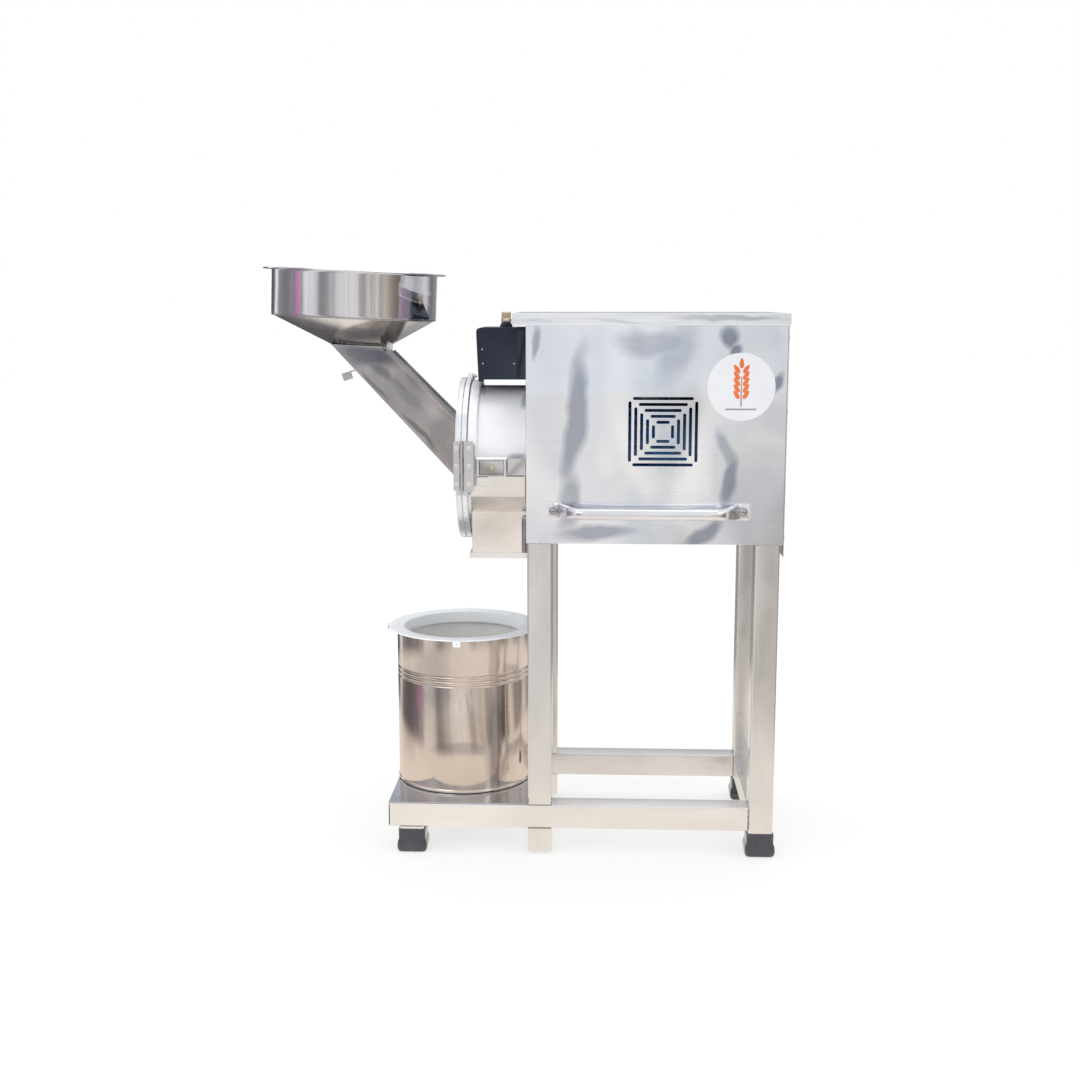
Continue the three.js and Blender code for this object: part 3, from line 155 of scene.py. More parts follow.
def painted_reflection_patches(tree, coords, shapes):
    """A mask of soft oval patches on XZ, each (x, z, half width, half height, lean in degrees, strength), in mm. The
    patches are painted reflections: they darken the sheet where mirrored surroundings show.
    """
    noise = tree.add("TexNoise", {"Vector": coords, "Scale": 14.0, "Detail": 2.0}).outputs["Color"]
    shift = tree.add("VectorMath", {0: noise, 1: (0.5, 0.5, 0.5)}, operation="SUBTRACT").outputs["Vector"]
    shift = tree.add("VectorMath", {0: shift, "Scale": 0.03}, operation="SCALE").outputs["Vector"]
    warped = tree.add("VectorMath", {0: coords, 1: shift}, operation="ADD").outputs["Vector"]
    mask = 0.0
    for x, z, half_x, half_z, lean, strength in shapes:
        inputs = {
            "Vector": warped,
            "Location": (x * MM, 0, z * MM),
            "Rotation": (0, math.radians(lean), 0),
            "Scale": (half_x * MM, 10, half_z * MM),
        }
        local = tree.add("Mapping", inputs, vector_type="TEXTURE").outputs["Vector"]
        distance = tree.add("VectorMath", {0: local}, operation="LENGTH").outputs["Value"]
        mask = tree.math("MAXIMUM", mask, tree.remap(distance, 0.55, 1.15, strength, 0.0))
    return mask


def steel(
    name, color, shade, roughness, grain="z", streak=0.05, wave=0.2, aniso=0.35, smudge=0.1, stain=None,
    tone_scale=(6, 6, 6), metallic=1.0, shapes=(), painted_reflection_tint=(0.26, 0.29, 0.37),
):
    """Sheet steel: fine grain along one axis, broad tone and gloss changes, faint smudges, waves and bright edges, the
    bright edges being a painted highlight.
    """
    material, tree, coords = new_material(name)
    fine = tree.noise(tree.stretch(coords, GRAIN[grain]), 1.0, 3.0, 0.65)
    broad = tree.noise(tree.stretch(coords, tone_scale), 1.0, 2.0, 0.5, 0.6)
    patch = tree.noise(coords, 17.0, 3.0, 0.55, 0.5)
    scratch = tree.noise(tree.stretch(coords, tuple(s * 0.35 + 9 for s in GRAIN[grain])), 1.0, 1.0)
    # Broad tone varies at random between color and shade. On the box, lid and chute its colours and stretched bands are
    # painted reflection bands.
    tone = tree.mix(tree.remap(broad, 0.35, 0.65, 0.0, 1.0), rgba(color), rgba(shade))
    if stain is not None:
        tone = tree.mix(tree.remap(patch, 0.52, 0.7, 0.0, 0.7), tone, rgba(stain))
    # Painted reflection: where patches are given, the tone is multiplied by a dark blue-grey tint standing for mirrored
    # surroundings.
    if shapes:
        tone = tree.mix(painted_reflection_patches(tree, coords, shapes), tone, rgba(painted_reflection_tint), "MULTIPLY")
    tone = tree.mix(tree.remap(fine, 0.3, 0.7, 0.0, streak * 2), tone, (0.25, 0.25, 0.26, 1), "MULTIPLY")
    # Painted highlight: outer edges and corners lightened towards near white.
    tone = tree.mix(tree.math("MULTIPLY", rubbed_and_shining_edges(tree), 0.5), tone, (0.97, 0.97, 0.97, 1))
    gloss = tree.remap(broad, 0.3, 0.7, roughness * 0.8, roughness * 1.2)
    gloss = tree.math("ADD", gloss, tree.remap(patch, 0.5, 0.72, 0.0, smudge))
    gloss = tree.math("ADD", gloss, tree.remap(scratch, 0.62, 0.75, 0.0, 0.09))
    waves = tree.bump(tree.noise(coords, 4.5, 1.0, 0.4, 0.4), wave, 0.02)
    normal = tree.bump(fine, 0.06, 0.0004, waves)
    inputs = {"Base Color": tone, "Metallic": metallic, "Roughness": gloss, "Anisotropic": aniso, "Normal": normal}
    close_material(tree, inputs)
    return material


def coated(name, color, shade, roughness, grain_scale=900, grain=0.15, edge=None, coat=0.0, specks=0.0, level=0.5):
    """Paint, plastic, rubber or powder coat: a textured skin with dust in its hollows and rubbed edges."""
    material, tree, coords = new_material(name)
    broad = tree.noise(coords, 14.0, 3.0, 0.6, 0.5)
    skin = tree.noise(coords, grain_scale, 2.0, 0.6)
    dust = tree.noise(coords, 85.0, 4.0, 0.7, 0.3)
    tone = tree.mix(tree.remap(broad, 0.35, 0.65, 0.0, 1.0), rgba(color), rgba(shade))
    tone = tree.mix(tree.remap(dust, 0.58, 0.78, 0.0, specks), tone, (0.62, 0.6, 0.56, 1))
    if edge is not None:
        tone = tree.mix(tree.math("MULTIPLY", rubbed_and_shining_edges(tree), 0.7), tone, rgba(edge))
    gloss = tree.remap(broad, 0.3, 0.7, roughness * 0.82, min(1.0, roughness * 1.2))
    gloss = tree.math("ADD", gloss, tree.remap(dust, 0.5, 0.75, 0.0, 0.12))
    normal = tree.bump(skin, grain, 0.0005, tree.bump(dust, 0.08, 0.001))
    inputs = {"Base Color": tone, "Roughness": gloss, "Normal": normal, "Coat Weight": coat, "Specular IOR Level": level}
    close_material(tree, inputs)
    return material


# Painted reflections: soft darker patches in the sheet's colour on the box's sheet, the chute, lid, drum, cone and
# container, standing for mirrored surroundings
BOX_PAINTED_REFLECTIONS = [
    (94, 720, 17, 120, 6, 0.75),
    (84, 590, 20, 50, 8, 0.6),
    (212, 838, 62, 24, 0, 0.5),
    (336, 848, 15, 20, 0, 1.0),
    (346, 826, 11, 12, 0, 1.0),
    (411, 776, 8, 20, 10, 1.0),
    (31, 838, 6, 26, 0, 0.7),
    (330, 668, 12, 40, -20, 0.5),
    (338, 620, 13, 46, 4, 0.75),
    (128, 540, 66, 13, 0, 0.75),
    (300, 540, 40, 13, -35, 0.85),
    (250, 820, 30, 50, 30, 0.35),
]
CHUTE_PAINTED_REFLECTIONS = [
    (-252, 812, 60, 22, 6, 1.0),
    (-236, 792, 40, 9, 40, 0.7),
    (-190, 752, 44, 10, 45, 0.5),
    (-165, 686, 44, 5, 46, 0.95),
    (-238, 762, 34, 4, 46, 0.8),
]
LID_PAINTED_REFLECTIONS = [(330, 878, 90, 5, 0, 0.7), (180, 870, 70, 3, 0, 0.5), (30, 871, 30, 3, 0, 0.4)]
DRUM_PAINTED_REFLECTIONS = [(12, 744, 6, 17, 0, 0.6), (0, 656, 17, 5, 0, 0.6), (-62, 760, 5, 9, 0, 0.4)]
CONE_PAINTED_REFLECTIONS = [(-205, 868, 60, 22, 30, 0.55), (-262, 842, 40, 10, 0, 0.3)]
POT_PAINTED_REFLECTIONS = [(-150, 290, 34, 70, 0, 0.35), (-40, 180, 20, 90, 0, 0.5), (-190, 230, 18, 90, 0, 0.4), (-90, 160, 60, 14, 0, 0.4)]

MATERIALS = {
    "stand": steel("stand_tube", (0.84, 0.78, 0.72), (0.58, 0.55, 0.53), 0.2, "z", tone_scale=(9, 9, 3)),
    # Painted light and shade: the front beam is a lighter copy and the rear beam a darker copy of the same tube steel
    # as the legs.
    "stand_x": steel("stand_beam_painted_light", (0.99, 0.94, 0.88), (0.8, 0.74, 0.69), 0.22, "x", tone_scale=(3, 9, 9)),
    "stand_rear": steel("stand_rear_beam_painted_shade", (0.8, 0.74, 0.7), (0.55, 0.5, 0.48), 0.22, "x", tone_scale=(3, 9, 9)),
    "stand_y": steel("stand_cross", (0.84, 0.79, 0.74), (0.6, 0.57, 0.55), 0.22, "y"),
    "platform": steel("platform_plate", (0.33, 0.36, 0.43), (0.18, 0.2, 0.26), 0.08, "y", wave=0.3),
    # box, lid and chute: the blue-grey shade colours, stretched tone bands and patches are painted reflections.
    "box": steel("box_sheet", (0.98, 0.99, 1.0), (0.7, 0.75, 0.83), 0.13, "x", wave=0.5, aniso=0.4, smudge=0.05,
                 tone_scale=(9, 9, 4), shapes=BOX_PAINTED_REFLECTIONS),
    "lid": steel("lid_sheet", (0.98, 0.99, 1.0), (0.74, 0.79, 0.87), 0.2, "x", tone_scale=(5, 2, 25),
                 shapes=LID_PAINTED_REFLECTIONS),
    "panel": steel("panel_sheet", (0.66, 0.69, 0.74), (0.52, 0.55, 0.61), 0.22, "z", wave=0.4),
    "bright": steel("bright_sheet", (1.0, 1.0, 1.0), (0.93, 0.95, 0.98), 0.42, "z", streak=0.03, wave=0.1,
                    aniso=0.2, smudge=0.04, metallic=0.35, shapes=DRUM_PAINTED_REFLECTIONS),
    "rim": steel("rim_sheet", (0.97, 0.98, 1.0), (0.8, 0.84, 0.9), 0.25, "z", streak=0.03, metallic=0.8),
    "hinge": steel("hinge_sheet", (0.5, 0.48, 0.47), (0.36, 0.35, 0.35), 0.26, "z"),
    "warm": steel("duct_sheet", (0.99, 0.94, 0.88), (0.86, 0.79, 0.72), 0.22, "x", streak=0.04),
    "bead": steel("bead_sheet", (0.36, 0.35, 0.36), (0.2, 0.2, 0.22), 0.16, "none"),
    "chute": steel("chute_sheet", (0.56, 0.49, 0.45), (0.26, 0.24, 0.24), 0.14, "x", wave=0.5, aniso=0.3,
                   smudge=0.05, tone_scale=(11, 11, 9), shapes=CHUTE_PAINTED_REFLECTIONS),
    "basin": steel("basin_sheet", (0.86, 0.86, 0.89), (0.74, 0.74, 0.78), 0.06, "z", streak=0.04, wave=0.12,
                   aniso=0.2, smudge=0.02),
    "cone": steel("cone_sheet", (0.82, 0.74, 0.68), (0.62, 0.55, 0.5), 0.16, "none", streak=0.02, wave=0.6,
                  aniso=0.2, smudge=0.03, shapes=CONE_PAINTED_REFLECTIONS),
    "container": steel("container_sheet", (0.76, 0.66, 0.58), (0.62, 0.53, 0.46), 0.13, "none", streak=0.03,
                       wave=0.15, aniso=0.4, smudge=0.05, shapes=POT_PAINTED_REFLECTIONS),
    "handle": steel("handle_bar", (0.95, 0.95, 0.96), (0.84, 0.84, 0.87), 0.16, "x", streak=0.04, wave=0.15),
    # A darker copy of the fastener steel. On the handle screws its darkness stands for the shade in the recess round
    # each head, painted shade.
    "screw": steel("screw_head", (0.5, 0.51, 0.53), (0.36, 0.37, 0.39), 0.2, "none", aniso=0.0),
    "inner": steel("inner_steel", (0.6, 0.6, 0.61), (0.48, 0.48, 0.5), 0.36, "none", 0.08, 0.2, 0.2, 0.2, (0.42, 0.4, 0.37)),
    "forged": steel("forged_steel", (0.3, 0.3, 0.32), (0.2, 0.2, 0.21), 0.46, "none", 0.1, 0.3, 0.0, 0.2, (0.24, 0.17, 0.12)),
    "fastener": steel("fastener_steel", (0.74, 0.75, 0.77), (0.6, 0.61, 0.63), 0.25, "none", 0.06, 0.1, 0.0),
    # Dark steel for dark nuts and seams. It also serves as painted shadow in the hinge gaps and along the split under
    # the clamp.
    "dark_bolt": steel("dark_bolt", (0.16, 0.16, 0.18), (0.1, 0.1, 0.12), 0.35, "none", 0.08, 0.1, 0.0),
    "weld": steel("weld_bead", (0.62, 0.6, 0.58), (0.4, 0.37, 0.36), 0.34, "none", 0.1, 0.2, 0.0, 0.2, (0.45, 0.33, 0.22)),
    "brass": steel("brass_fitting", (0.83, 0.64, 0.3), (0.72, 0.53, 0.22), 0.24, "none", 0.06, 0.1, 0.0, 0.12, (0.5, 0.34, 0.14)),
    "rubber": coated("boot_rubber", (0.026, 0.027, 0.036), (0.045, 0.047, 0.06), 0.2, 1500, 0.06, (0.07, 0.07, 0.08), 0.6, 0.06),
    "gasket": coated("gasket_rubber", (0.02, 0.02, 0.02), (0.04, 0.04, 0.04), 0.6, 1500, 0.2, None, 0.0, 0.12),
    "black": coated("black_plastic", (0.02, 0.02, 0.022), (0.04, 0.04, 0.044), 0.4, 1900, 0.12, (0.09, 0.09, 0.1), 0.0, 0.08),
    "navy": coated("navy_plastic", (0.006, 0.009, 0.022), (0.011, 0.015, 0.032), 0.42, 1700, 0.14, (0.05, 0.06, 0.09), 0.0, 0.03, level=0.22),
    "green": coated("green_plastic", (0.02, 0.3, 0.07), (0.03, 0.36, 0.1), 0.35, 1500, 0.08, (0.2, 0.5, 0.26), 0.2, 0.04),
    "red": coated("red_plastic", (0.45, 0.02, 0.015), (0.55, 0.035, 0.02), 0.35, 1500, 0.08, (0.7, 0.2, 0.16), 0.2, 0.04),
    "motor": coated("motor_paint", (0.04, 0.24, 0.7), (0.06, 0.3, 0.8), 0.38, 700, 0.18, (0.3, 0.4, 0.55), 0.2, 0.2),
    "white": coated("ring_coat", (0.9, 0.93, 0.96), (0.84, 0.88, 0.93), 0.42, 800, 0.1, (0.9, 0.92, 0.94), 0.1, 0.0),
    "flour": coated("flour_dust", (0.95, 0.95, 0.94), (0.86, 0.86, 0.85), 0.85, 400, 0.5, None, 0.0, 0.25),
    "label": coated("label_film", (0.74, 0.75, 0.78), (0.7, 0.71, 0.75), 0.4, 600, 0.05, None, 0.2, 0.0),
    "label_ink": coated("label_ink", (0.78, 0.16, 0.03), (0.7, 0.13, 0.025), 0.42, 600, 0.05, None, 0.2, 0.0),
    "label_grey": coated("label_grey", (0.3, 0.3, 0.32), (0.24, 0.24, 0.26), 0.42, 600, 0.05, None, 0.2, 0.0),
}

# Materials of the CAD nodes that stay, with the width in mm that their edges are rounded by

NODE_LOOKS = {
    "platform": (0.5, ["platform_sheet"]),
    "gasket": (0.0, ["door_gasket"]),
    "box": (0.5, ["motor_box"]),
    "lid": (0.6, ["box_lid"]),
    "panel": (0.4, ["side_panel"]),
    "bright": (0.0, ["drum_shell", "drum_flange", "door_plate"]),
    "hinge": (0.5, ["clamp_bracket"]),
    "warm": (0.5, ["outlet_duct"]),
    "chute": (0.5, ["feed_chute"]),
    "cone": (0.0, ["hopper_cone"]),
    "basin": (0.0, ["hopper_basin"]),
    "container": (0.0, ["container_body"]),
    "white": (0.0, ["container_ring"]),
    "handle": (0.0, ["handle_front", "handle_rear"]),
    "motor": (0.8, ["motor_frame", "drive_end_bell", "terminal_box", "fan_cowl"]),
    "forged": (0.6, ["motor_mount", "motor_shaft", "wear_liner", "rotor_spool"] + [f"hammer_{i}" for i in range(1, 5)]),
    "inner": (0.3, ["back_plate", "screen", "feed_gate", "drive_bearing", "fan_bearing"]
              + [f"hammer_pin_{i}" for i in range(1, 5)]),
    "black": (0.5, ["motor_fan", "door_knob"]),
    "navy": (2.2, ["starter_housing"]),
    "green": (0.0, ["start_button"]),
    "red": (0.0, ["stop_button"]),
    "brass": (0.3, ["cable_gland"]),
}


def soften(obj, width):
    """Rounds a CAD node's sharp edges without a change to its own mesh."""
    mesh = obj.data
    if "custom_normal" in mesh.attributes:
        mesh.attributes.remove(mesh.attributes["custom_normal"])
    mesh.shade_smooth()
    weld = obj.modifiers.new("weld", "WELD")
    weld.merge_threshold = 1e-5
    planar = obj.modifiers.new("planar", "DECIMATE")
    planar.decimate_type = "DISSOLVE"
    planar.angle_limit = math.radians(1)
    if width:
        bevel = obj.modifiers.new("bevel", "BEVEL")
        bevel.width = width * MM
        bevel.segments = 3
        bevel.limit_method = "ANGLE"
        bevel.angle_limit = math.radians(35)
        bevel.harden_normals = True


def dress_nodes():
    for look, (width, names) in NODE_LOOKS.items():
        for name in names:
            obj = NODES[name]
            obj.data.materials.clear()
            obj.data.materials.append(MATERIALS[look])
            soften(obj, width)


# Mesh building. Lengths are in mm, in the row frame, and become metres when a piece is finished.


def finish_piece(name, bm, materials, body, replaces=(), smooth=35, bevel=0.0):
    bmesh.ops.remove_doubles(bm, verts=bm.verts, dist=1e-4)
    bmesh.ops.dissolve_degenerate(bm, edges=bm.edges, dist=1e-4)
    bmesh.ops.recalc_face_normals(bm, faces=bm.faces)
    bmesh.ops.scale(bm, vec=(MM, MM, MM), verts=bm.verts)
    mesh = bpy.data.meshes.new(name)
    bm.to_mesh(mesh)
    bm.free()
    mesh.shade_smooth()
    if not bevel:
        mesh.set_sharp_from_angle(angle=math.radians(smooth))
    for material in [materials] if isinstance(materials, str) else materials:
        mesh.materials.append(MATERIALS[material])
    obj = bpy.data.objects.new(name, mesh)
    bpy.context.scene.collection.objects.link(obj)
    if bevel:
        edge = obj.modifiers.new("bevel", "BEVEL")
        edge.width = bevel * MM
        edge.segments = 3
        edge.limit_method = "ANGLE"
        edge.angle_limit = math.radians(smooth)
        edge.harden_normals = True
    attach(obj, body)
    if replaces:
        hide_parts(*replaces)
    return obj


def on_axis(axis, along, u, v):
    """A point at (u, v) across an axis: (Y, Z) for x, (X, Z) for y and (X, Y) for z."""
    return {"x": (along, u, v), "y": (u, along, v), "z": (u, v, along)}[axis]


def lathe(bm, axis, profile, centre=(0, 0, 0), segments=128, arc=(0, 360), turn=None, paint=None):
    """Turns a closed profile of (along, radius) points about an axis. paint gives a profile edge its own material."""
    whole = arc[1] - arc[0] >= 360
    count = segments if whole else segments + 1
    rings = []
    for k in range(count):
        angle = math.radians(arc[0] + (arc[1] - arc[0]) * k / segments)
        ring = []
        for along, radius in profile:
            point = Vector(on_axis(axis, along, radius * math.cos(angle), radius * math.sin(angle)))
            if turn is not None:
                point = turn @ point
            ring.append(bm.verts.new(point + Vector(centre)))
        rings.append(ring)
    size = len(profile)
    for k in range(segments):
        a, b = rings[k], rings[(k + 1) % count]
        for i in range(size):
            j = (i + 1) % size
            if profile[i][1] == 0 and profile[j][1] == 0:
                continue
            face = bm.faces.new((a[i], a[j], b[j], b[i]))
            if paint and i in paint:
                face.material_index = paint[i]
    if not whole:
        bm.faces.new(rings[0])
        bm.faces.new(rings[-1])


def rounded(points, radius, steps=5):
    """The corners of a closed outline, each turned into an arc of about that radius."""
    result = []
    count = len(points)
    for i in range(count):
        before, here, after = (Vector(points[(i + k) % count]) for k in (-1, 0, 1))
        cut = min(radius, (before - here).length * 0.48, (after - here).length * 0.48)
        start = here + (before - here).normalized() * cut
        end = here + (after - here).normalized() * cut
        for k in range(steps + 1):
            t = k / steps
            result.append(tuple(start * (1 - t) ** 2 + here * 2 * t * (1 - t) + end * t * t))
    return result


def box_outline(u0, u1, v0, v1, radius=0.0, steps=5):
    corners = [(u0, v0), (u1, v0), (u1, v1), (u0, v1)]
    return rounded(corners, radius, steps) if radius else corners


def circle(radius, centre=(0, 0), count=96, arc=(0, 360)):
    whole = arc[1] - arc[0] >= 360
    points = []
    for i in range(count if whole else count + 1):
        angle = math.radians(arc[0] + (arc[1] - arc[0]) * i / count)
        points.append((centre[0] + radius * math.cos(angle), centre[1] + radius * math.sin(angle)))
    return points


def slab(bm, axis, span, outline, holes=(), turn=None, material=0):
    """A flat plate between two stations of an axis, with its outline and holes in the plane across it."""
    flat = bmesh.new()
    for loop in (outline, *holes):
        verts = [flat.verts.new((u, v, 0)) for u, v in loop]
        for i, vert in enumerate(verts):
            flat.edges.new((vert, verts[(i + 1) % len(verts)]))
    bmesh.ops.triangle_fill(flat, use_beauty=True, use_dissolve=False, edges=flat.edges)
    raised = bmesh.ops.extrude_face_region(flat, geom=flat.faces[:])
    top = [g for g in raised["geom"] if isinstance(g, bmesh.types.BMVert)]
    bmesh.ops.translate(flat, vec=(0, 0, 1), verts=top)
    bmesh.ops.recalc_face_normals(flat, faces=flat.faces)
    bmesh.ops.dissolve_limit(flat, angle_limit=math.radians(0.5), verts=flat.verts, edges=flat.edges)
    for vert in flat.verts:
        u, v, share = vert.co
        point = Vector(on_axis(axis, span[0] + (span[1] - span[0]) * share, u, v))
        vert.co = turn @ point if turn is not None else point
    for face in flat.faces:
        face.material_index = material
    shape = bpy.data.meshes.new("shape")
    flat.to_mesh(shape)
    flat.free()
    bm.from_mesh(shape)
    bpy.data.meshes.remove(shape)


def block(bm, x, y, z, material=0):
    slab(bm, "z", z, box_outline(x[0], x[1], y[0], y[1]), material=material)


def tube(bm, points, sections, sides=24):
    """A closed tube along points. Each section is (half width across, half height) or one radius."""
    points = [Vector(p) for p in points]
    rings = []
    up = Vector((0, 0, 1))
    for i, point in enumerate(points):
        ahead = (points[min(i + 1, len(points) - 1)] - points[max(i - 1, 0)]).normalized()
        across = ahead.cross(up)
        if across.length < 1e-6:
            across = Vector((1, 0, 0))
        across.normalize()
        over = across.cross(ahead).normalized()
        wide, high = sections[i] if isinstance(sections[i], tuple) else (sections[i], sections[i])
        ring = []
        for k in range(sides):
            angle = 2 * math.pi * k / sides
            ring.append(bm.verts.new(point + across * (wide * math.cos(angle)) + over * (high * math.sin(angle))))
        rings.append(ring)
    for a, b in zip(rings, rings[1:]):
        for k in range(sides):
            j = (k + 1) % sides
            bm.faces.new((a[k], a[j], b[j], b[k]))
    bm.faces.new(rings[0])
    bm.faces.new(rings[-1])


def loft(bm, sections):
    """A closed body through outlines in XY at rising or falling heights: (z, outline) pairs of equal length."""
    rings = [[bm.verts.new((x, y, z)) for x, y in outline] for z, outline in sections]
    for a, b in zip(rings, rings[1:]):
        for k in range(len(a)):
            j = (k + 1) % len(a)
            bm.faces.new((a[k], a[j], b[j], b[k]))
    bm.faces.new(rings[0])
    bm.faces.new(rings[-1])


def smooth_route(points, steps=8):
    """A Catmull-Rom line through the points."""
    points = [Vector(p) for p in points]
    padded = [points[0], *points, points[-1]]
    route = []
    for i in range(len(points) - 1):
        a, b, c, d = padded[i:i + 4]
        for k in range(steps):
            t = k / steps
            route.append(0.5 * (2 * b + (c - a) * t + (2 * a - 5 * b + 4 * c - d) * t ** 2 + (3 * b - a - 3 * c + d) * t ** 3))
    route.append(points[-1])
    return route


def weld_bead(bm, start, end, radius, seed):
    """A rippled bead between two points."""
    draw = random.Random(seed)
    start, end = Vector(start), Vector(end)
    count = max(4, int((end - start).length / (radius * 0.45)))
    points, sections = [], []
    for i in range(count + 1):
        share = i / count
        wobble = Vector((draw.uniform(-1, 1), draw.uniform(-1, 1), draw.uniform(-1, 1))) * radius * 0.12
        points.append(start.lerp(end, share) + wobble)
        fade = 0.35 if i in (0, count) else 1.0
        sections.append(radius * fade * (0.78 + 0.3 * (i % 2) + draw.uniform(-0.1, 0.1)))
    tube(bm, points, sections, 8)


def pan_screw(bm, axis, centre, sign, radius, height):
    """A domed head with a recess, on a washer. sign says which way the head faces."""
    head = [(0, 0), (0, radius * 1.35), (0.25 * height, radius * 1.4), (0.3 * height, radius)]
    head += [(0.7 * height, radius * 0.92), (0.95 * height, radius * 0.6), (height, radius * 0.34)]
    head += [(0.55 * height, radius * 0.26), (0.5 * height, 0)]
    lathe(bm, axis, [(along * sign, r) for along, r in head], centre, 24)


def hex_nut(bm, axis, centre, sign, radius, height, stem=0.0):
    """A nut with a chamfer and the end of its bolt."""
    nut = [(0, 0), (0, radius), (height * 0.8, radius), (height, radius * 0.84), (height, 0)]
    lathe(bm, axis, [(along * sign, r) for along, r in nut], centre, 6)
    end = [(height * 0.5, 0), (height * 0.5, radius * 0.52), (height + stem, radius * 0.52), (height + stem + 0.6, radius * 0.4)]
    end += [(height + stem + 0.6, 0)]
    lathe(bm, axis, [(along * sign, r) for along, r in end], centre, 20)


# Places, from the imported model. All in mm.


def spot(node):
    low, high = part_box(node)
    return low / MM, high / MM


BOX_LOW, BOX_HIGH = spot("motor_box")
LID_LOW, LID_HIGH = spot("box_lid")
DRUM_LOW, DRUM_HIGH = spot("drum_shell")
DOOR_LOW, DOOR_HIGH = spot("door_plate")
FLANGE_LOW, FLANGE_HIGH = spot("drum_flange")
DUCT_LOW, DUCT_HIGH = spot("outlet_duct")
CHUTE_LOW, CHUTE_HIGH = spot("feed_chute")
POT_LOW, POT_HIGH = spot("container_body")
STARTER_LOW, STARTER_HIGH = spot("starter_housing")
AXIS_Z = sum(v[2] for v in spot("rotor_spool")) / 2
SPLIT_Z = DRUM_LOW[2]
FRONT = BOX_LOW[1]
REAR = BOX_HIGH[1]
SHEET = 1.5

# Motor box

GRILLE = {"x": 232, "z": 700, "rings": 5, "first": 15, "step": 9.3, "slot": 4.7}


def grille_slots():
    holes = []
    half = GRILLE["slot"] / 2
    for k in range(GRILLE["rings"]):
        offset = GRILLE["first"] + GRILLE["step"] * k
        length = offset - GRILLE["slot"]
        for side in (-1, 1):
            x, z = GRILLE["x"], GRILLE["z"] + side * offset
            holes.append(box_outline(x - length, x + length, z - half, z + half, half, 4))
            x, z = GRILLE["x"] + side * offset, GRILLE["z"]
            holes.append(box_outline(x - half, x + half, z - length, z + length, half, 4))
    return holes


def make_box():
    bm = bmesh.new()
    x = (BOX_LOW[0], BOX_HIGH[0])
    z = (BOX_LOW[2], BOX_HIGH[2])
    wall = box_outline(x[0] + 0.6, x[1], z[0] + 0.6, z[1])
    slab(bm, "y", (FRONT, FRONT + SHEET), wall, grille_slots())
    slab(bm, "y", (REAR - SHEET, REAR), wall)
    end = box_outline(FRONT + 0.6, REAR - 0.6, z[0] + 0.6, z[1])
    slab(bm, "x", (x[0], x[0] + SHEET), end, [circle(20, (0, AXIS_Z), 48)])
    slab(bm, "z", (z[0], z[0] + SHEET), box_outline(x[0] + 0.6, x[1], FRONT + 0.6, REAR - 0.6))
    for y in (FRONT + 1.4, REAR - 1.4):
        lathe(bm, "z", [(z[0] + 0.6, 0), (z[0] + 0.6, 1.4), (z[1], 1.4), (z[1], 0)], (x[0] + 1.4, y, 0), 16)
    finish_piece("box_body", bm, "box", "frame", ("motor_box",), 30, 0.25)


def make_handles():
    """A bar whose ends are pressed flat, held to the box by a screw through a square pad at each end."""
    for side, name in ((-1, "handle_front"), (1, "handle_rear")):
        low, high = spot(name)
        wall = high[1] if side < 0 else low[1]
        middle, half = (low[0] + high[0]) / 2, (high[0] - low[0]) / 2 - 13
        z = (low[2] + high[2]) / 2
        radius = 9.3
        reach = min(abs(low[1] - high[1]) - radius - 0.3, 35.5)
        stations = [(-half - 9, 2.2), (-half + 6, 3.2), (-half + 16, 13), (-half + 29, 28), (-half + 46, reach)]
        stations += [(-half / 2, reach), (0, reach), (half / 2, reach)]
        stations += [(-u, out) for u, out in reversed(stations[:5])]
        route = smooth_route([(middle + u, wall + side * out, z) for u, out in stations], 6)
        sections = []
        for point in route:
            inset = half - abs(point[0] - middle)
            round_share = min(1.0, max(0.0, (inset - 4) / 44))
            round_share = round_share * round_share * (3 - 2 * round_share)
            sections.append((2.0 + (radius - 2.0) * round_share, 12.4 + (radius - 12.4) * round_share))
        bm = bmesh.new()
        tube(bm, route, sections, 28)
        for x in (middle - half, middle + half):
            pad = box_outline(x - 13, x + 13, z - 14.5, z + 14.5, 4.5)
            slab(bm, "y", (wall, wall + side * 2.4), pad)
        finish_piece(f"grip_{name[7:]}", bm, "handle", "frame", (name,), 40)
        bm = bmesh.new()
        for x in (middle - half, middle + half):
            pan_screw(bm, "y", (x, wall + side * 4.1, z), side, 5.2, 4.4)
        finish_piece(f"handle_screws_{name[7:]}", bm, "screw", "frame")


def make_box_details():
    bm = bmesh.new()
    for y in (-150, -50, 50, 150):
        for z in (BOX_LOW[2] + 12, 733, 848):
            pan_screw(bm, "x", (425.8, y, z), 1, 2.8, 1.5)
    finish_piece("side_panel_screws", bm, "fastener", "frame")
    bm = bmesh.new()
    for x in (LID_LOW[0] + 0.8, LID_HIGH[0] - 0.8):
        for y in (LID_LOW[1] + 0.8, LID_HIGH[1] - 0.8):
            lathe(bm, "z", [(LID_LOW[2] + 0.3, 0), (LID_LOW[2] + 0.3, 0.8), (LID_HIGH[2] - 0.4, 0.8), (LID_HIGH[2] - 0.4, 0)], (x, y, 0), 12)
    finish_piece("lid_corner_folds", bm, "lid", "frame")
    bm = bmesh.new()
    for y in (LID_LOW[1] + 0.3, LID_HIGH[1] - 0.3):
        tube(bm, [(LID_LOW[0] + 1, y, LID_LOW[2] + 0.9), (LID_HIGH[0] - 1, y, LID_LOW[2] + 0.9)], [0.85, 0.85], 12)
    tube(bm, [(LID_LOW[0] + 0.5, LID_LOW[1] + 1, LID_LOW[2] + 0.9), (LID_LOW[0] + 0.5, LID_HIGH[1] - 1, LID_LOW[2] + 0.9)], [0.85, 0.85], 12)
    finish_piece("lid_hem", bm, "handle", "frame")


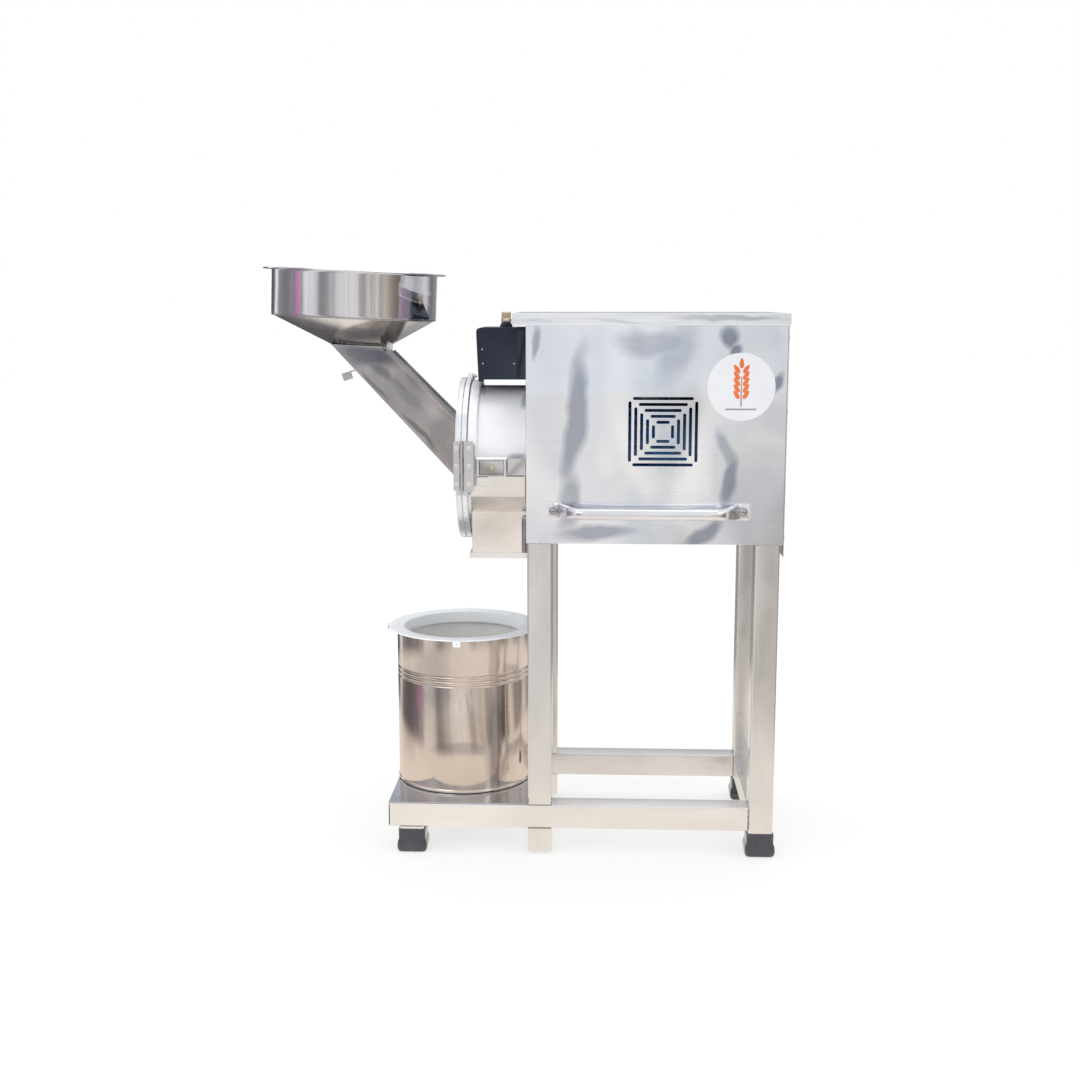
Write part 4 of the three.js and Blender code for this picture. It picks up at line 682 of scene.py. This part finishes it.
def make_label():
    """A plain round sticker with an ear of grain. It carries no lettering."""
    x, z, radius = 353, 770.5, 53
    bm = bmesh.new()
    slab(bm, "y", (FRONT - 0.5, FRONT - 0.05), circle(radius, (x, z), 128))
    finish_piece("label", bm, "label", "frame")
    bm = bmesh.new()
    stem = [(x - 1.2, z - 30), (x + 1.2, z - 30), (x + 0.8, z + 16), (x - 0.8, z + 16)]
    slab(bm, "y", (FRONT - 0.75, FRONT - 0.5), stem)
    slab(bm, "y", (FRONT - 0.75, FRONT - 0.5), box_outline(x - 24, x + 24, z - 36, z - 33.6, 1))
    finish_piece("label_stem", bm, "label_grey", "frame")
    bm = bmesh.new()
    for k in range(5):
        for side in (-1, 1):
            lean = math.radians(90 - side * 34)
            middle = (x + side * 7.4, z - 12 + 10 * k)
            grain = []
            for u, v in circle(1, count=28):
                p = u * 7.6, v * 3.3 * (1 - 0.25 * u)
                turned = (p[0] * math.cos(lean) - p[1] * math.sin(lean), p[0] * math.sin(lean) + p[1] * math.cos(lean))
                grain.append((middle[0] + turned[0], middle[1] + turned[1]))
            slab(bm, "y", (FRONT - 0.8, FRONT - 0.5), grain)
    tip = [(x + v * 3.3 * (1 - 0.25 * u), z + 37 + u * 8) for u, v in circle(1, count=28)]
    slab(bm, "y", (FRONT - 0.8, FRONT - 0.5), tip)
    finish_piece("label_grains", bm, "label_ink", "frame")


# Grinding chamber


def split_arc(radius):
    low = math.degrees(math.asin((SPLIT_Z - AXIS_Z) / radius))
    return low, 180 - low


def make_chamber():
    left, right = DRUM_LOW[0], DRUM_HIGH[0]
    shell, collar = 122, DRUM_HIGH[2] - AXIS_Z
    bore = 119.5
    seat = FLANGE_HIGH[0]
    profile = [(left, bore), (left, shell), (-80.3, shell + 0.3), (-80.3, collar - 2), (-79.4, collar), (-67, collar)]
    profile += [(-65.4, collar - 0.8), (-65, collar - 2.4), (-65, shell + 1.5), (-64, shell + 0.3), (-62, shell)]
    profile += [(right - 1.5, shell), (right, shell - 0.6), (right, bore)]
    bm = bmesh.new()
    lathe(bm, "x", profile, (0, 0, AXIS_Z), 128, split_arc(shell))
    finish_piece("chamber_shell", bm, "bright", "frame", ("drum_shell",), 35)
    bm = bmesh.new()
    x0, x1 = FLANGE_LOW[0], -80.6
    flange = [(x0, 117.5), (x0, 134), (x0 + 1, 135), (x1 - 1, 135), (x1, 134), (x1, 122), (-76.3, 122), (-76.3, 117.5)]
    lathe(bm, "x", flange, (0, 0, AXIS_Z))
    ear = box_outline(127, 157, AXIS_Z - 11, AXIS_Z + 11, 5)
    slab(bm, "x", (x0, x1), ear, [circle(4.8, (146, AXIS_Z), 32)])
    slab(bm, "x", (x0 + 1, -81), box_outline(-9, 9, AXIS_Z + 130, AXIS_Z + 142, 4))
    finish_piece("chamber_flange", bm, "rim", "frame", ("drum_flange",), 35)
    bm = bmesh.new()
    hex_nut(bm, "x", (-81, 0, AXIS_Z + 137), 1, 4.4, 4, 2.5)
    finish_piece("top_lug_nut", bm, "fastener", "frame")
    bm = bmesh.new()
    for y in (-94.4, 94.4):
        foot, top = 495.2, 557
        stations = [(foot, 4.6), (foot + 3, 4.9), (top - 14, 4.9), (top - 6, 4.5), (top - 2, 3.2), (top, 1.2)]
        tube(bm, [(10.4, y, z) for z, _ in stations], [(0.95 * r, r) for _, r in stations], 28)
    finish_piece("duct_bead", bm, "bead", "frame", smooth=50)
    bm = bmesh.new()
    for y in (-92.2, 92.2):
        tube(bm, [(-75, y, 561.6), (12, y, 561.6)], [0.7, 0.7], 10)
    finish_piece("duct_folds", bm, "warm", "frame")
    # A seam bead along the split under the clamp. Its dark colour is painted shadow, where the clamp's shadow falls.
    bm = bmesh.new()
    weld_bead(bm, (-74, -121.2, 623.6), (-46, -121.2, 623.6), 1.7, 61)
    weld_bead(bm, (-46, -121.6, 624), (11, -121.6, 624), 0.7, 62)
    finish_piece("split_shadow_bead", bm, "dark_bolt", "frame")
    bm = bmesh.new()
    low, high = spot("clamp_bracket")
    rail = [(low[0] - 1, low[1] + 2, high[2] + 0.6), (high[0] + 1, low[1] + 2, high[2] + 0.6)]
    tube(bm, rail, [(3.4, 2.4), (3.4, 2.4)], 20)
    finish_piece("clamp_lip", bm, "bright", "frame", smooth=40)
    # Painted shade: the bracket's sides take the darker panel steel while the top rail stays bright.
    bm = bmesh.new()
    for x in (low[0], high[0] - 3):
        slab(bm, "y", (low[1] - 0.9, low[1] + 0.6), box_outline(x, x + 3, low[2], high[2], 1))
    finish_piece("clamp_sides_painted_shade", bm, "panel", "frame", smooth=40)
    bm = bmesh.new()
    hex_nut(bm, "y", ((low[0] + high[0]) / 2, low[1] + 6, (low[2] + high[2]) / 2), -1, 5, 3.6, 1.4)
    finish_piece("clamp_bolt", bm, "brass", "frame")
    bm = bmesh.new()
    slab(bm, "y", (-128.6, -126.6), box_outline(-15, 13.6, 626, 654, 2))
    finish_piece("seam_plate", bm, "hinge", "frame", smooth=40, bevel=0.4)


# Door with chute and hopper


def make_door():
    x0, x1 = DOOR_LOW[0], DOOR_HIGH[0]
    feed = box_outline(-43, 43, 607.2, 696.3, 2)
    bm = bmesh.new()
    slab(bm, "x", (x0, x0 + 3), circle(134.2, (0, AXIS_Z), 128), [feed])
    rim = [(x0 + 0.1, 119), (x0 + 0.1, 133.2), (x0 + 2, 135), (x1 - 0.6, 135), (x1, 134.4), (x1, 123), (x0 + 3, 120)]
    lathe(bm, "x", rim, (0, 0, AXIS_Z))
    slab(bm, "x", (x0, x1), box_outline(127, 157, AXIS_Z - 11, AXIS_Z + 11, 5), [circle(4.6, (146, AXIS_Z), 32)])
    finish_piece("door_disc", bm, "rim", "door", ("door_plate",), 35)
    bm = bmesh.new()
    for y in (-45.6, 45.6):
        weld_bead(bm, (x0 - 0.6, y, 608), (x0 - 0.6, y, 696), 1.3, int(y))
    for z in (605.2, 698.3):
        weld_bead(bm, (x0 - 0.6, -45, z), (x0 - 0.6, 45, z), 1.3, int(z))
    finish_piece("chute_weld", bm, "weld", "door")


HINGE = {"x": -87.7, "y": -141.5, "barrel": 2.9, "pin": 1.9, "plate": (-141, -138.4), "back": -139}
HINGE_LEAVES = {
    "door": {"plate": (-101, -91.5), "packing": [(-99, -93, 135.4)], "screw": -96.4},
    "frame": {"plate": (-83.9, -69), "packing": [(-83.9, -80.3, 135.4), (-80.3, -67.2, 131.4)], "screw": -76.2},
}


def rim_packing(low, high, radius):
    """Across the hinge: a strip between the leaf and the round rim behind it, in dark steel as painted shade."""
    reach = (low - AXIS_Z, high - AXIS_Z)
    rim = []
    for k in range(13):
        z = reach[1] + (reach[0] - reach[1]) * k / 12
        rim.append((-math.sqrt(radius ** 2 - z ** 2), AXIS_Z + z))
    return [(HINGE["back"], low), (HINGE["back"], high), *rim]


def make_hinge():
    low, high = spot("hinge_leaf_door")[0][2], spot("hinge_leaf_door")[1][2]
    third = (high - low) / 3
    knuckles = {
        "door": [(low + third + 0.2, high - third - 0.2)],
        "frame": [(low, low + third - 0.5), (high - third + 0.5, high)],
    }
    x, y, barrel = HINGE["x"], HINGE["y"], HINGE["barrel"]
    for body, name in (("door", "hinge_leaf_door"), ("frame", "hinge_leaf_body")):
        leaf = HINGE_LEAVES[body]
        inner_edge = max(leaf["plate"]) if body == "door" else min(leaf["plate"])
        bm = bmesh.new()
        slab(bm, "y", HINGE["plate"], box_outline(*leaf["plate"], low, high, 1.2))
        # Painted shade: the packing strips behind the leaf are dark steel to show the gap round the hinge as shaded.
        for x0, x1, radius in leaf["packing"]:
            slab(bm, "x", (x0, x1), rim_packing(low + 6, high - 6, radius), material=1)
        for z0, z1 in knuckles[body]:
            lathe(bm, "z", [(z0, 2), (z0, barrel), (z1, barrel), (z1, 2)], (x, y, 0), 32)
            # Painted shade: the arms beside the knuckles are dark steel to show the gap as shaded.
            arm = box_outline(min(x, inner_edge), max(x, inner_edge), y + 1.4, y + barrel)
            slab(bm, "z", (z0, z1), arm, material=1)
        finish_piece(f"hinge_plate_{body}", bm, ("hinge", "dark_bolt"), body, (name,), 40)
        bm = bmesh.new()
        for z in (AXIS_Z + 30, AXIS_Z + 1, AXIS_Z - 28):
            pan_screw(bm, "y", (leaf["screw"], HINGE["plate"][0], z), -1, 2.3, 1.3)
        finish_piece(f"hinge_screws_{body}", bm, "handle", body)
    bm = bmesh.new()
    pin = HINGE["pin"]
    lathe(bm, "z", [(low - 5, 0), (low - 5, pin), (high + 0.6, pin), (high + 1, pin * 0.6), (high + 1, 0)], (x, y, 0), 24)
    slab(bm, "y", (-142, -136), box_outline(-95, -73, low - 8, low - 0.5, 1.5))
    finish_piece("hinge_pin", bm, "screw", "frame", smooth=40)
    bm = bmesh.new()
    hex_nut(bm, "y", (-76, -142, low - 4.2), -1, 2.6, 1.8, 0.4)
    finish_piece("hinge_keeper_nut", bm, "dark_bolt", "frame")


HOPPER_TURN = Matrix.Rotation(math.radians(2.5), 4, "Y")
HOPPER_PLACE = Vector((-267.5, 0, 831))
HOPPER_OFFSET = -14.3


def in_hopper(x, y, z):
    return tuple(HOPPER_PLACE + HOPPER_TURN @ Vector((x, y, z)))


def make_hopper():
    shift = Matrix.Translation((HOPPER_OFFSET, 0, 0))
    radius, low, high, rim = 136.7, 45.3, 121, 151
    profile = [(low, radius - 2.4), (low, radius - 1.2), (low + 1, radius - 0.5), (low + 3, radius), (high - 6, radius)]
    profile += [(high - 3.4, radius + 0.6), (high - 2.2, radius + 2.4), (high - 1.9, rim - 2), (high - 2.6, rim - 0.8)]
    profile += [(high - 1.4, rim), (high - 0.2, rim - 0.8), (high, rim - 2.4), (high, radius + 1)]
    profile += [(high - 0.6, radius - 0.8), (high - 3, radius - 1.5), (low + 3, radius - 1.5)]
    bm = bmesh.new()
    lathe(bm, "z", profile, tuple(HOPPER_PLACE), 160, (0, 360), HOPPER_TURN @ shift)
    finish_piece("basin", bm, "basin", "door", ("hopper_basin",), 50)
    bm = bmesh.new()
    corners = [(44, 42), (-44, 42), (-44, -42), (44, -42)]
    per_corner = 24
    skins = []
    for inset in (0.0, 1.9):
        throat = [bm.verts.new(in_hopper(x * (1 - inset / 60), y * (1 - inset / 60), 0)) for x, y in corners]
        mouth = []
        for i in range(4 * per_corner):
            angle = 2 * math.pi * i / (4 * per_corner)
            reach = radius - 0.5 - inset
            mouth.append(bm.verts.new(in_hopper(HOPPER_OFFSET + reach * math.cos(angle), reach * math.sin(angle), 45)))
        for corner in range(4):
            first = corner * per_corner
            for i in range(per_corner):
                bm.faces.new((throat[corner], mouth[(first + i + 1) % len(mouth)], mouth[first + i]))
            shared = mouth[((corner + 1) * per_corner) % len(mouth)]
            bm.faces.new((throat[corner], throat[(corner + 1) % 4], shared))
        skins.append((throat, mouth))
    for outer, inner in zip(skins[0], skins[1]):
        for i in range(len(outer)):
            j = (i + 1) % len(outer)
            bm.faces.new((outer[i], outer[j], inner[j], inner[i]))
    finish_piece("cone", bm, "cone", "door", ("hopper_cone",), 9)
    bm = bmesh.new()
    lip = [(0.2, radius - 0.8), (1.6, radius - 0.1), (3.0, radius - 0.2), (1.6, radius - 1.4)]
    lathe(bm, "z", [(along + 43.4, r) for along, r in lip], tuple(HOPPER_PLACE), 160, (0, 360), HOPPER_TURN @ shift)
    finish_piece("basin_seam", bm, "dark_bolt", "door")
    bm = bmesh.new()
    for k, ((x0, y0), (x1, y1)) in enumerate(zip(corners, corners[1:] + corners[:1])):
        weld_bead(bm, in_hopper(x0, y0, -0.6), in_hopper(x1, y1, -0.6), 0.9, 40 + k)
    finish_piece("throat_weld", bm, "dark_bolt", "door")
    bm = bmesh.new()
    slab(bm, "y", (-30, -18), box_outline(-224, -213, 823, 834, 3.5), [circle(2.2, (-218.5, 828.5), 20)])
    finish_piece("hopper_lug", bm, "bright", "door", smooth=40, bevel=0.5)
    bm = bmesh.new()
    hex_nut(bm, "y", (-218.5, -30, 828.5), -1, 3.6, 3, 1.5)
    finish_piece("hopper_lug_nut", bm, "fastener", "door")


# Starter


def make_starter():
    low, high = STARTER_LOW, STARTER_HIGH
    bm = bmesh.new()
    for y, sign in ((low[1], -1), (high[1], 1)):
        slab(bm, "y", (y, y + sign * 0.9), box_outline(-3.4, 14.8, 778, 857, 2))
    finish_piece("starter_base_band", bm, "navy", "frame", smooth=40, bevel=0.3)
    bm = bmesh.new()
    slab(bm, "y", (low[1] + 3, low[1] + 10), box_outline(-67, -58, 772.6, 776.4, 1.2))
    finish_piece("starter_foot", bm, "navy", "frame", smooth=40, bevel=0.4)
    bm = bmesh.new()
    for x, z in ((-60, 825), (-59, 802), (-8, 802)):
        pan_screw(bm, "y", (x, low[1] - 0.05, z), -1, 0.9, 0.5)
    finish_piece("starter_screws", bm, "fastener", "frame")


def make_gland():
    low, high = spot("cable_gland")
    x, y = (low[0] + high[0]) / 2, (low[1] + high[1]) / 2
    base = low[2]
    bm = bmesh.new()
    lathe(bm, "z", [(base, 4.2), (base, 8.4), (base + 0.8, 8.9), (base + 5, 8.9), (base + 5.8, 8.4), (base + 5.8, 4.2)], (x, y, 0), 6)
    ridges = []
    for k in range(48):
        ridges.append((7.9 if k % 4 < 2 else 7.0, 360 * k / 48))
    outline = [(x + r * math.cos(math.radians(a)), y + r * math.sin(math.radians(a))) for r, a in ridges]
    slab(bm, "z", (base + 6, base + 15.4), outline, [circle(4.3, (x, y), 32)])
    lathe(bm, "z", [(base + 15.4, 4.3), (base + 15.4, 7.4), (base + 16.8, 6.4), (base + 17, 4.3)], (x, y, 0), 48)
    finish_piece("gland_nut", bm, "brass", "frame", ("cable_gland",), 30)


# Container


def make_container():
    centre = ((POT_LOW[0] + POT_HIGH[0]) / 2, 0, POT_LOW[2])
    radius = 114.5
    height = POT_HIGH[2] - POT_LOW[2]
    outer = [(0, 0), (0, radius - 1), (0.6, radius + 0.6), (2.4, radius + 1.5), (4.4, radius + 0.9), (5.6, radius)]
    for z in (184, 192, 200):
        outer += [(z - 2.6, radius), (z - 1.7, radius - 0.35), (z - 0.5, radius - 1.25), (z + 0.5, radius - 1.25)]
        outer += [(z + 1.7, radius - 0.35), (z + 2.6, radius)]
    outer += [(height - 0.5, radius), (height, radius - 0.4), (height, radius - 1.1)]
    inner = [(height, radius - 1.5), (6, radius - 1.5), (1.5, radius - 7), (1.5, 0)]
    first = len(outer)
    bm = bmesh.new()
    lathe(bm, "z", outer + inner, centre, 160, (0, 360), None, {first: 1, first + 1: 1, first + 2: 1})
    finish_piece("pot", bm, ("container", "flour"), "container", ("container_body",), 32)
    bm = bmesh.new()
    x = centre[0] + (radius + 0.1) * math.sin(math.radians(42))
    y = -(radius + 0.1) * math.cos(math.radians(42))
    weld_bead(bm, (x, y, centre[2] + 7), (x, y, centre[2] + 180), 0.55, 91)
    weld_bead(bm, (x, y, centre[2] + 204), (x, y, centre[2] + height - 2), 0.55, 92)
    finish_piece("pot_seam", bm, "container", "container")


def make_ring():
    low, high = spot("container_ring")
    centre = ((low[0] + high[0]) / 2, (low[1] + high[1]) / 2, 0)
    top = high[2]
    profile = [(top - 2.2, 103.5), (top - 2.2, 127.4), (top - 1.6, 128), (top - 0.6, 128), (top, 127.2), (top, 105)]
    profile += [(top - 0.8, 102.8), (top - 3, 102), (top - 19, 102), (top - 19, 103.5)]
    bm = bmesh.new()
    lathe(bm, "z", profile, centre, 160)
    for k in range(4):
        turn = Matrix.Translation(centre) @ Matrix.Rotation(math.radians(90 * k), 4, "Z")
        slab(bm, "z", (top - 2.2, top - 0.1), box_outline(125, 132.8, -6, 6, 1.6), (), turn)
        slab(bm, "x", (131, 133), box_outline(-6, 6, top - 10.2, top - 0.6, 2), [circle(1.5, (0, top - 5), 20)], turn)
    finish_piece("collar", bm, "white", "ring", ("container_ring",), 35)


# Stand


TUBE_SIZE = 40
TUBE_WALL = 1.5
TUBE_CORNER = 3.2
SLEEVE = {"half": 20.4, "floor": 6.0}


def square_tube(bm, axis, span, centre):
    half = TUBE_SIZE / 2
    u, v = centre
    inner = half - TUBE_WALL
    outline = box_outline(u - half, u + half, v - half, v + half, TUBE_CORNER)
    hole = box_outline(u - inner, u + inner, v - inner, v + inner, TUBE_CORNER - TUBE_WALL)
    slab(bm, axis, span, outline, [hole])


def make_stand():
    half = TUBE_SIZE / 2
    uprights = [f"leg_{depth}_{end}" for depth in ("front", "rear") for end in ("left", "right")]
    for name in [*uprights, "stub_front", "stub_rear"]:
        low, high = spot(name)
        bm = bmesh.new()
        square_tube(bm, "z", (low[2], high[2]), ((low[0] + high[0]) / 2, (low[1] + high[1]) / 2))
        finish_piece(f"tube_{name}", bm, "stand", "frame", (name,), 50)
    for name, look in (("front_beam", "stand_x"), ("rear_beam", "stand_rear")):
        low, high = spot(name)
        y = (low[1] + high[1]) / 2
        z = high[2] - half
        boot = spot(name.replace("beam", "left").replace("front", "boot_front").replace("rear", "boot_rear"))
        bm = bmesh.new()
        square_tube(bm, "x", (low[0], high[0]), (y, z))
        slab(bm, "x", (low[0], low[0] + TUBE_WALL), box_outline(y - half, y + half, z - half, z + half, TUBE_CORNER))
        square_tube(bm, "z", (low[2], z - half + 0.4), ((boot[0][0] + boot[1][0]) / 2, y))
        finish_piece(f"tube_{name}", bm, look, "frame", (name,), 50)
    for name in ("left_beam", "right_beam"):
        low, high = spot(name)
        bm = bmesh.new()
        square_tube(bm, "y", (low[1], high[1]), ((low[0] + high[0]) / 2, (low[2] + high[2]) / 2))
        finish_piece(f"tube_{name}", bm, "stand_y", "frame", (name,), 50)


def make_boots():
    """Moulded cups with a full, rounded sole below a straight sleeve."""
    flank = [(0, 19.5, 6), (1.2, 22.3, 7), (3.4, 24, 8), (7, 24.8, 8), (12, 25, 8), (16, 24.6, 8), (19, 23.7, 7)]
    flank += [(21, 22.6, 6), (23.5, 22.1, 5), (38.6, 22.1, 4), (39.6, 21.8, 4), (40, 21.2, 3.6), (40, SLEEVE["half"], 3)]
    flank += [(SLEEVE["floor"], SLEEVE["half"], 3)]
    for name in [f"boot_{depth}_{end}" for depth in ("front", "rear") for end in ("left", "right")]:
        low, high = spot(name)
        x, y = (low[0] + high[0]) / 2, (low[1] + high[1]) / 2
        bm = bmesh.new()
        loft(bm, [(z, box_outline(x - r, x + r, y - r, y + r, corner, 6)) for z, r, corner in flank])
        finish_piece(f"moulded_{name}", bm, "rubber", "frame", (name,), 45)


def make_stand_details():
    bm = bmesh.new()
    front = -159.4
    for x in (19, 57):
        weld_bead(bm, (x, front + 1, 85), (x + 1, front + 1, 97), 1.0, int(x))
    for side in (-1, 1):
        y = side * 159.3
        weld_bead(bm, (19, y, 84.6), (57, y, 84.6), 1.0, 3 + side)
        weld_bead(bm, (19, y, 44.2), (57, y, 44.2), 1.0, 7 + side)
        weld_bead(bm, (379.8, y, 46), (379.8, y, 83), 1.3, 11 + side)
        weld_bead(bm, (19, y, 520.4), (57, y, 520.4), 0.9, 15 + side)
        weld_bead(bm, (381, y, 520.4), (419, y, 520.4), 0.9, 19 + side)
        weld_bead(bm, (-193, y, 44.2), (-155, y, 44.2), 0.9, 23 + side)
    for x in (-212, 379.7, 420.3):
        for side in (-1, 1):
            weld_bead(bm, (x, side * 118.8, 46), (x, side * 118.8, 83), 1.0, int(x) + side)
    finish_piece("frame_welds", bm, "weld", "frame")


def make_pieces():
    make_box()
    make_handles()
    make_box_details()
    make_label()
    make_chamber()
    make_door()
    make_hinge()
    make_hopper()
    make_starter()
    make_gland()
    make_container()
    make_ring()
    make_stand()
    make_boots()
    make_stand_details()


# Stage

# Brightness of the room round the object by heading, in degrees: 0 is towards the front, 90 to the right.
ROOM = [
    (-180, (0.42, 0.43, 0.45)),
    (-158, (0.07, 0.07, 0.09)),
    (-138, (0.16, 0.16, 0.19)),
    (-129, (1.05, 1.05, 1.05)),
    (-118, (0.3, 0.3, 0.33)),
    (-100, (0.22, 0.21, 0.24)),
    (-92, (0.3, 0.27, 0.32)),
    (-84, (0.4, 0.37, 0.42)),
    (-76, (0.34, 0.3, 0.36)),
    (-62, (0.95, 0.96, 1.0)),
    (-50, (0.8, 0.82, 0.86)),
    (-36, (0.34, 0.34, 0.36)),
    (-20, (0.74, 0.74, 0.76)),
    (-7, (0.95, 0.96, 1.0)),
    (6, (0.86, 0.87, 0.89)),
    (20, (0.74, 0.72, 0.71)),
    (34, (0.78, 0.75, 0.7)),
    (48, (0.58, 0.55, 0.51)),
    (62, (0.3, 0.26, 0.23)),
    (76, (0.16, 0.13, 0.11)),
    (88, (0.9, 0.88, 0.84)),
    (102, (0.36, 0.35, 0.35)),
    (124, (0.8, 0.8, 0.8)),
    (146, (0.2, 0.2, 0.22)),
    (180, (0.42, 0.43, 0.45)),
]


BANNER_HEADING = 77


def room_light(tree, direction, banner):
    """The room's brightness along a direction, with soft darker shapes and a pink banner in it."""
    parts = tree.add("SeparateXYZ", {"Vector": direction})
    heading = tree.math("ARCTAN2", parts.outputs["X"], tree.math("MULTIPLY", parts.outputs["Y"], -1.0))
    ramp = tree.add("ValToRGB", {"Fac": tree.remap(heading, -math.pi, math.pi, 0.0, 1.0)})
    stops = ramp.color_ramp
    while len(stops.elements) > 1:
        stops.elements.remove(stops.elements[-1])
    for i, (angle, color) in enumerate(ROOM):
        place = (angle + 180) / 360
        stop = stops.elements[0] if i == 0 else stops.elements.new(place)
        stop.position = place
        stop.color = rgba(color)
    blotch = tree.noise(tree.stretch(direction, (9, 9, 5)), 1.0, 1.0, 0.4, 0.9)
    shapes = tree.remap(blotch, 0.53, 0.64, 0.0, 0.6)
    walls = tree.mix(shapes, ramp.outputs["Color"], (0.22, 0.22, 0.25, 1))
    aside = tree.math("ABSOLUTE", tree.math("ADD", heading, math.radians(BANNER_HEADING)))
    share = tree.math("MULTIPLY", tree.remap(aside, math.radians(2.5), math.radians(4.5), 1.0, 0.0), banner)
    return tree.mix(share, walls, (0.72, 0.26, 0.56, 1)), parts.outputs["Z"]


def make_world():
    world = bpy.data.worlds.new("studio")
    bpy.context.scene.world = world
    world.use_nodes = True
    tree = Tree(world.node_tree)
    walls, height = room_light(tree, tree.add("TexCoord").outputs["Generated"], 0.75)
    room = tree.mix(tree.remap(height, 0.14, 0.42, 0.0, 1.0), walls, (0.84, 0.85, 0.87, 1))
    path = tree.add("LightPath")
    lit = tree.mix(path.outputs["Is Diffuse Ray"], room, (1.12, 1.12, 1.12, 1))
    color = tree.mix(path.outputs["Is Camera Ray"], lit, (1, 1, 1, 1))
    background = tree.add("Background", {"Color": color, "Strength": 1.0})
    output = tree.add("OutputWorld")
    tree.tree.links.new(background.outputs[0], output.inputs["Surface"])


def make_floor():
    """Pale floor. In polished metal it shows the room's bands, a little warmer, as a glossy studio floor does."""
    size = 14
    mesh = bpy.data.meshes.new("floor")
    mesh.from_pydata([(-size, -size, 0), (size, -size, 0), (size, size, 0), (-size, size, 0)], [], [(0, 1, 2, 3)])
    floor = bpy.data.objects.new("floor", mesh)
    bpy.context.scene.collection.objects.link(floor)
    material, tree, coords = new_material("floor_paint")
    matte = tree.add("BsdfDiffuse", {"Color": (0.95, 0.95, 0.95, 1)})
    heading = tree.add("VectorMath", {0: coords}, operation="NORMALIZE").outputs["Vector"]
    distance = tree.add("VectorMath", {0: coords}, operation="LENGTH").outputs["Value"]
    room = room_light(tree, heading, tree.remap(distance, 2.5, 4.0, 0.0, 0.75))[0]
    warm = tree.mix(1.0, room, (1.0, 0.96, 0.91, 1), "MULTIPLY")
    near = tree.mix(tree.remap(distance, 0.9, 1.25, 1.0, 0.0), warm, (0.93, 0.88, 0.82, 1))
    shown = tree.add("Emission", {"Color": near, "Strength": 1.0})
    path = tree.add("LightPath")
    pale = tree.add("Emission", {"Color": (1, 1, 1, 1), "Strength": 1.0})
    seen = tree.math("MULTIPLY", path.outputs["Is Camera Ray"], 0.7)
    open_floor = tree.add("MixShader", {0: seen, 1: matte.outputs[0], 2: pale.outputs[0]})
    blend = tree.add("MixShader", {0: path.outputs["Is Glossy Ray"], 1: open_floor.outputs[0], 2: shown.outputs[0]})
    output = tree.add("OutputMaterial")
    tree.tree.links.new(blend.outputs[0], output.inputs["Surface"])
    mesh.materials.append(material)


def area_light(name, location, target, size, power, color=(1, 1, 1)):
    data = bpy.data.lights.new(name, "AREA")
    data.shape = "RECTANGLE"
    data.size, data.size_y = size
    data.energy = power
    data.color = color
    light = bpy.data.objects.new(name, data)
    light.location = location
    aim = Vector(target) - Vector(location)
    light.rotation_euler = aim.to_track_quat("-Z", "Y").to_euler()
    bpy.context.scene.collection.objects.link(light)


def make_lights():
    centre = (CAD_BOX[0] + CAD_BOX[1]) / 2
    area_light("key", (-1.6, -2.2, 2.3), centre, (1.6, 1.2), 6)
    area_light("fill", (2.2, -1.6, 1.6), centre, (1.4, 1.4), 3, (1.0, 0.98, 0.95))
    area_light("top", (0.0, 0.2, 2.6), centre, (2.2, 1.8), 8)


make_camera()
dress_nodes()
make_pieces()
make_floor()
make_world()
make_lights()

bpy.context.scene.view_settings.view_transform = "Standard"
